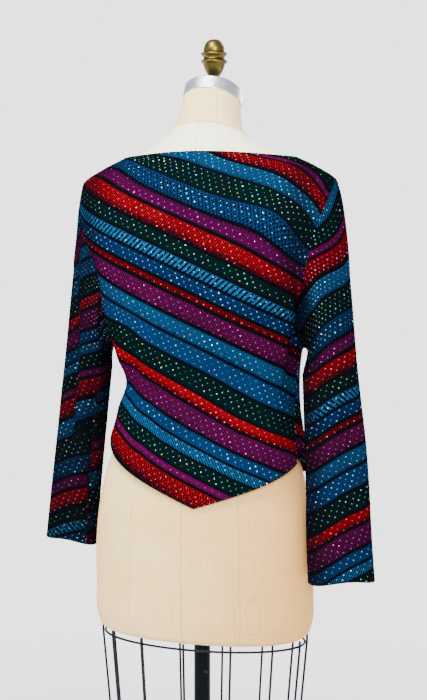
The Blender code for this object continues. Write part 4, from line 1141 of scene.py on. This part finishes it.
neck_halves = [edge_line(*panel_grids[name][:2], -1)[1:-1] for name in ("back", "front")]
edges = {"neck_edge": tube("neck_edge", np.concatenate(neck_halves), EDGE_RADIUS, loop=True)}
for name, (outer, normal, _, _) in panel_grids.items():
    edges[f"hem_edge_{name}"] = tube(f"hem_edge_{name}", edge_line(outer, normal, 0), EDGE_RADIUS)
for name, (outer, normal, _, _) in sleeve_grids.items():
    line = edge_line(outer, normal, -1)
    edges[f"cuff_edge_{name}"] = tube(f"cuff_edge_{name}", line, EDGE_RADIUS, loop=True)
EDGE_BLACK, EDGE_GREYED, LOOP_LENGTH = (0.0012, 0.0014, 0.0018), (0.0050, 0.0055, 0.0065), 0.0016
tree, shader, place = paint(edges["neck_edge"], "black rolled edge", 0.8)
shader.inputs["Specular IOR Level"].default_value = 0.08
turn_round, run_along, _ = split(put(tree, "ShaderNodeUVMap", uv_map="measure"))
loops = maths("SINE", plus(times(run_along, 2 * math.pi / LOOP_LENGTH), times(turn_round, 4 * math.pi)))
coat(shader, tones(mottled(place, 500.0), EDGE_BLACK, EDGE_GREYED), loops, 0.0003, 0.8)
for name, edge in edges.items():
    if name != "neck_edge":
        paint_like(edge, edges["neck_edge"])
    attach(edge, "root")


# Spangles: small domed discs of mirror foil sewn on in slanting rows inside the coloured stripes. Each is a
# closed lens of twelve faces, tilted a little its own way, so that only some of them catch the light.
SPANGLE_RADIUS, SPANGLE_RISE, ABOVE_CLOTH = 0.00115, 0.00034, 0.00042
ROW_APART, SPANGLE_APART, ROW_SHIFT = 0.0070, 0.0124, 0.46
# How far a spangle stays inside its stripe, and how near to its place a sample of the cloth must lie.
STRIPE_MARGIN, NEAREST = 0.0016, 0.0015
# How bright each foil's colour is painted, standing in for how much light it catches, and the share of each.
PAINTED_SHINE, PAINTED_SHINE_SHARES = (3.2, 1.0, 0.60, 0.30), (0.11, 0.36, 0.35, 0.18)
rng = np.random.default_rng(11)
# Six foil tints for each kind of yarn, and the share of each.
FOIL_TINTS = {
    "cool": (
        (0.24, 0.46, 0.56), (0.07, 0.32, 0.52), (0.04, 0.30, 0.30),
        (0.18, 0.16, 0.52), (0.38, 0.40, 0.26), (0.05, 0.22, 0.48)),
    "green": (
        (0.20, 0.38, 0.36), (0.05, 0.24, 0.20), (0.03, 0.22, 0.11),
        (0.15, 0.13, 0.32), (0.24, 0.21, 0.09), (0.30, 0.19, 0.13)),
    "red": (
        (0.62, 0.010, 0.034), (0.66, 0.035, 0.075), (0.60, 0.120, 0.160),
        (0.55, 0.008, 0.050), (0.60, 0.260, 0.320), (0.50, 0.040, 0.180)),
    "pink": (
        (0.36, 0.006, 0.19), (0.42, 0.030, 0.24), (0.30, 0.004, 0.14),
        (0.22, 0.030, 0.36), (0.48, 0.120, 0.34), (0.42, 0.020, 0.11)),
}
FOIL_SHARES = {
    "cool": (0.26, 0.28, 0.10, 0.09, 0.07, 0.20), "green": (0.20, 0.26, 0.26, 0.08, 0.10, 0.10),
    "red": (0.30, 0.28, 0.10, 0.20, 0.04, 0.08), "pink": (0.32, 0.24, 0.22, 0.10, 0.06, 0.06),
}
FOIL_KINDS = {"bottle": "green", "scarlet": "red", "wine": "red", "magenta": "pink", "plum": "pink"}


def finer(grid, steps):
    """Bilinear samples of a grid, with a number of steps in each of its cells."""
    for axis in (0, 1):
        grid = np.moveaxis(grid, axis, 0)
        step = np.linspace(0, len(grid) - 1, (len(grid) - 1) * steps + 1)
        low = np.minimum(step.astype(int), len(grid) - 2)
        share = (step - low).reshape(-1, *([1] * (grid.ndim - 1)))
        grid = np.moveaxis(grid[low] * (1 - share) + grid[low + 1] * share, 0, axis)
    return grid


def sown(name, outer, normal, cut, painted_shade):
    """Spangles on one panel: the sample nearest to each lattice point of the cut gets a tilted lens."""
    grids = (outer, normal, cut, painted_shade[..., None])
    points, normals, measure, painted_shading = [finer(grid, 3).reshape(-1, grid.shape[-1]) for grid in grids]
    row = np.round(measure[:, 1] / ROW_APART)
    shift = (row * ROW_SHIFT) % 1.0
    place = np.round(measure[:, 0] / SPANGLE_APART - shift)
    missed = np.hypot(measure[:, 0] - (place + shift) * SPANGLE_APART, measure[:, 1] - row * ROW_APART)
    order = np.lexsort((missed, place, row))
    first = np.ones(len(order), bool)
    first[1:] = (np.diff(row[order]) != 0) | (np.diff(place[order]) != 0)
    chosen = order[first]
    chosen = chosen[missed[chosen] < NEAREST]
    down = (FIRST_STRIPE - measure[chosen, 1]) % REPEAT
    which = np.clip(np.searchsorted(stripe_ends, down, side="right"), 0, len(stripe_ends) - 1)
    inside = down - stripe_starts[which]
    kept = (inside > STRIPE_MARGIN) & (inside < stripe_widths[which] - STRIPE_MARGIN)
    chosen, which = chosen[kept], which[kept]
    count = len(chosen)
    up = unit(normals[chosen])
    side = unit(np.cross(up, [0.0, 0.0, 1.0]))
    ahead = np.cross(up, side)
    jog = rng.normal(0, 0.00020, (count, 2))
    centre = points[chosen] + side * jog[:, :1] + ahead * jog[:, 1:] + up * ABOVE_CLOTH
    lean = np.radians(rng.gamma(2.0, 4.5, count).clip(0, 24))[:, None]
    heading = rng.uniform(0, 2 * math.pi, count)[:, None]
    axis = side * np.cos(heading) + ahead * np.sin(heading)
    tip = up * np.cos(lean) + np.cross(up, axis) * np.sin(lean)
    other = np.cross(tip, axis)
    radius = SPANGLE_RADIUS * rng.uniform(0.85, 1.10, count)
    turn = np.arange(6)[:, None] * (math.pi / 3)
    ring = radius[:, None, None] * (axis[:, None] * np.cos(turn) + other[:, None] * np.sin(turn))
    poles = tip[:, None] * np.array([SPANGLE_RISE, -SPANGLE_RISE])[:, None]
    corners = centre[:, None] + np.concatenate([ring, poles], axis=1)
    base = np.arange(count)[:, None, None] * 8
    k = np.arange(6)
    upper = np.stack([k, (k + 1) % 6, np.full(6, 6)], axis=-1)
    lower = np.stack([(k + 1) % 6, k, np.full(6, 7)], axis=-1)
    faces = (base + np.concatenate([upper, lower])[None]).reshape(-1, 3)
    kinds = np.array([FOIL_KINDS.get(yarn, "cool") for yarn in yarns])[which]
    tint = np.zeros((count, 3))
    for kind, tints in FOIL_TINTS.items():
        here = kinds == kind
        tint[here] = np.array(tints)[rng.choice(len(tints), here.sum(), p=FOIL_SHARES[kind])]
    # Painted highlight: each foil's colour is scaled by a random brightness, so some are painted as catching
    # the light.
    painted_shine = rng.choice(PAINTED_SHINE, count, p=PAINTED_SHINE_SHARES) * rng.uniform(0.75, 1.0, count)
    # Painted shade: foils sewn on cloth with painted shade are painted dimmer.
    painted_shine *= 1 - 1.1 * np.clip(painted_shading[chosen, 0] - 0.45, 0, 0.8)
    colour = np.concatenate([np.minimum(tint * painted_shine[:, None], 0.95), np.ones((count, 1))], axis=1)
    piece = new_piece(name, corners.reshape(-1, 3), faces.tolist())
    layer = piece.data.color_attributes.new("foil", "FLOAT_COLOR", "POINT")
    layer.data.foreach_set("color", np.repeat(colour, 8, axis=0).astype(np.float32).ravel())
    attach(piece, "root")
    return piece


spangles = {}
for name, grids in panel_grids.items():
    spangles[name] = sown(f"spangles_{name}", *grids)
for name, (outer, normal, cut, painted_shade) in sleeve_grids.items():
    closed = [joined_round(grid) for grid in (outer, normal, painted_shade)]
    spangles[f"sleeve_{name}"] = sown(f"spangles_sleeve_{name}", *closed[:2], cut, closed[2])
tree, shader, place = paint(spangles["back"], "mirror foil", 0.40, 0.85)
shader.inputs["Specular Tint"].default_value = (0.25, 0.25, 0.28, 1.0)
foil = put(tree, "ShaderNodeAttribute", attribute_name="foil", attribute_type="GEOMETRY")
creased = noise(place, 900.0)
coat(shader, tones(times(creased, 0.35), foil, (0.10, 0.12, 0.14)), creased, 0.0002, 0.3)
for piece in list(spangles.values())[1:]:
    paint_like(piece, spangles["back"])


# Studio: a wide pale vinyl floor that fades into the wall's light. A large soft key light and a weaker one
# to its side stand behind the form, where the camera is. One more hangs above, and one stands in front.
floor_reach = np.concatenate([[0.02], np.linspace(0.15, 4.0, 40), [5.0, 7.0, 10.0, 14.0, 20.0, 30.0]])
floor_reach = floor_reach[::-1, None]
floor_turn = np.arange(72) * (2 * math.pi / 72)
floor_points = grid_of(floor_reach * np.cos(floor_turn), floor_reach * np.sin(floor_turn), 0.0)
floor = surface("studio_floor", floor_points, close=(False, True))
WALL_LIGHT, WALL_STRENGTH, ROOM_STRENGTH = (0.960, 0.942, 1.0, 1.0), 2.9, 0.80
VINYL, VINYL_SHADE = (0.80, 0.80, 0.815), (0.78, 0.78, 0.80)
# The floor fades into the wall's light from the first of these distances from the form to the second.
FADE_FROM, FADE_TO, FADE_FIRST = 0.3, 2.4, 0.30
tree, shader, place = paint(floor, "pale vinyl", 0.85)
coat(shader, tones(mottled(place, 3.0, 0.5, 0.3), VINYL, VINYL_SHADE), noise(place, 160.0), 0.0003, 0.3)
glow = tree.nodes.new("ShaderNodeEmission")
glow.inputs["Color"].default_value = WALL_LIGHT
glow.inputs["Strength"].default_value = WALL_STRENGTH
reach = put(tree, "ShaderNodeVectorMath", [(0, place)], operation="LENGTH", out=1)
fade = span(reach, FADE_FROM, FADE_TO, FADE_FIRST, kind="SMOOTHSTEP")
both = put(tree, "ShaderNodeMixShader", [(0, fade), (1, shader.outputs[0]), (2, glow.outputs[0])])
tree.links.new(both, tree.nodes["Material Output"].inputs["Surface"])

world = bpy.data.worlds.new("studio air")
world.use_nodes = True
air = world.node_tree.nodes["Background"]
air.inputs["Color"].default_value = WALL_LIGHT
# The lit wall is brighter to the camera than the room's light is on the form.
strength = span(put(world.node_tree, "ShaderNodeLightPath"), start=ROOM_STRENGTH, end=WALL_STRENGTH)
world.node_tree.links.new(strength, air.inputs["Strength"])
bpy.context.scene.world = world


def aim(piece, target):
    """Turns a lamp or camera so that its -Z looks at the target."""
    away = mathutils.Vector(target) - piece.location
    piece.rotation_euler = away.to_track_quat("-Z", "Y").to_euler()


for name, size, power, spot, target in (
    ("key_softbox", 1.2, 130.0, (-1.35, 2.75, 2.30), (0.0, 0.0, 1.10)),
    ("top_softbox", 0.8, 80.0, (0.35, 1.00, 2.85), (0.0, 0.0, 1.35)),
    ("side_softbox", 1.4, 20.0, (2.5, 1.5, 1.9), (0.0, 0.0, 1.05)),
    ("front_softbox", 1.8, 70.0, (-0.6, -2.8, 2.2), (0.0, 0.0, 1.10)),
):
    lamp = bpy.data.lights.new(name, "AREA")
    lamp.size, lamp.energy = size, power
    lamp_piece = bpy.data.objects.new(name, lamp)
    bpy.context.scene.collection.objects.link(lamp_piece)
    lamp_piece.location = spot
    aim(lamp_piece, target)

# Camera: found from the photograph's own perspective, 2.3 m off and level with the shoulders' height. The
# picture's middle lies a little across from the form and below the eye's level, in pixels.
TURN, DISTANCE, FOCAL_PIXELS, PICTURE_HEIGHT = math.radians(19.5), 2.3, 1465.0, 700.0
ACROSS_PIXELS, DOWN_PIXELS, EYE_HEIGHT, SENSOR = 11.5, 115.0, TORSO_BASE + 0.617, 36.0
yaw, pitch = math.atan(ACROSS_PIXELS / FOCAL_PIXELS), math.atan(DOWN_PIXELS / FOCAL_PIXELS)
lens = bpy.data.cameras.new("photo_camera")
lens.sensor_width, lens.lens = SENSOR, SENSOR * FOCAL_PIXELS / PICTURE_HEIGHT
camera = bpy.data.objects.new("photo_camera", lens)
bpy.context.scene.collection.objects.link(camera)
camera.location = (-math.sin(TURN) * DISTANCE, math.cos(TURN) * DISTANCE, EYE_HEIGHT)
ahead = (math.sin(TURN - yaw), -math.cos(TURN - yaw), -math.tan(pitch))
aim(camera, [camera.location[i] + ahead[i] for i in range(3)])
bpy.context.scene.camera = camera
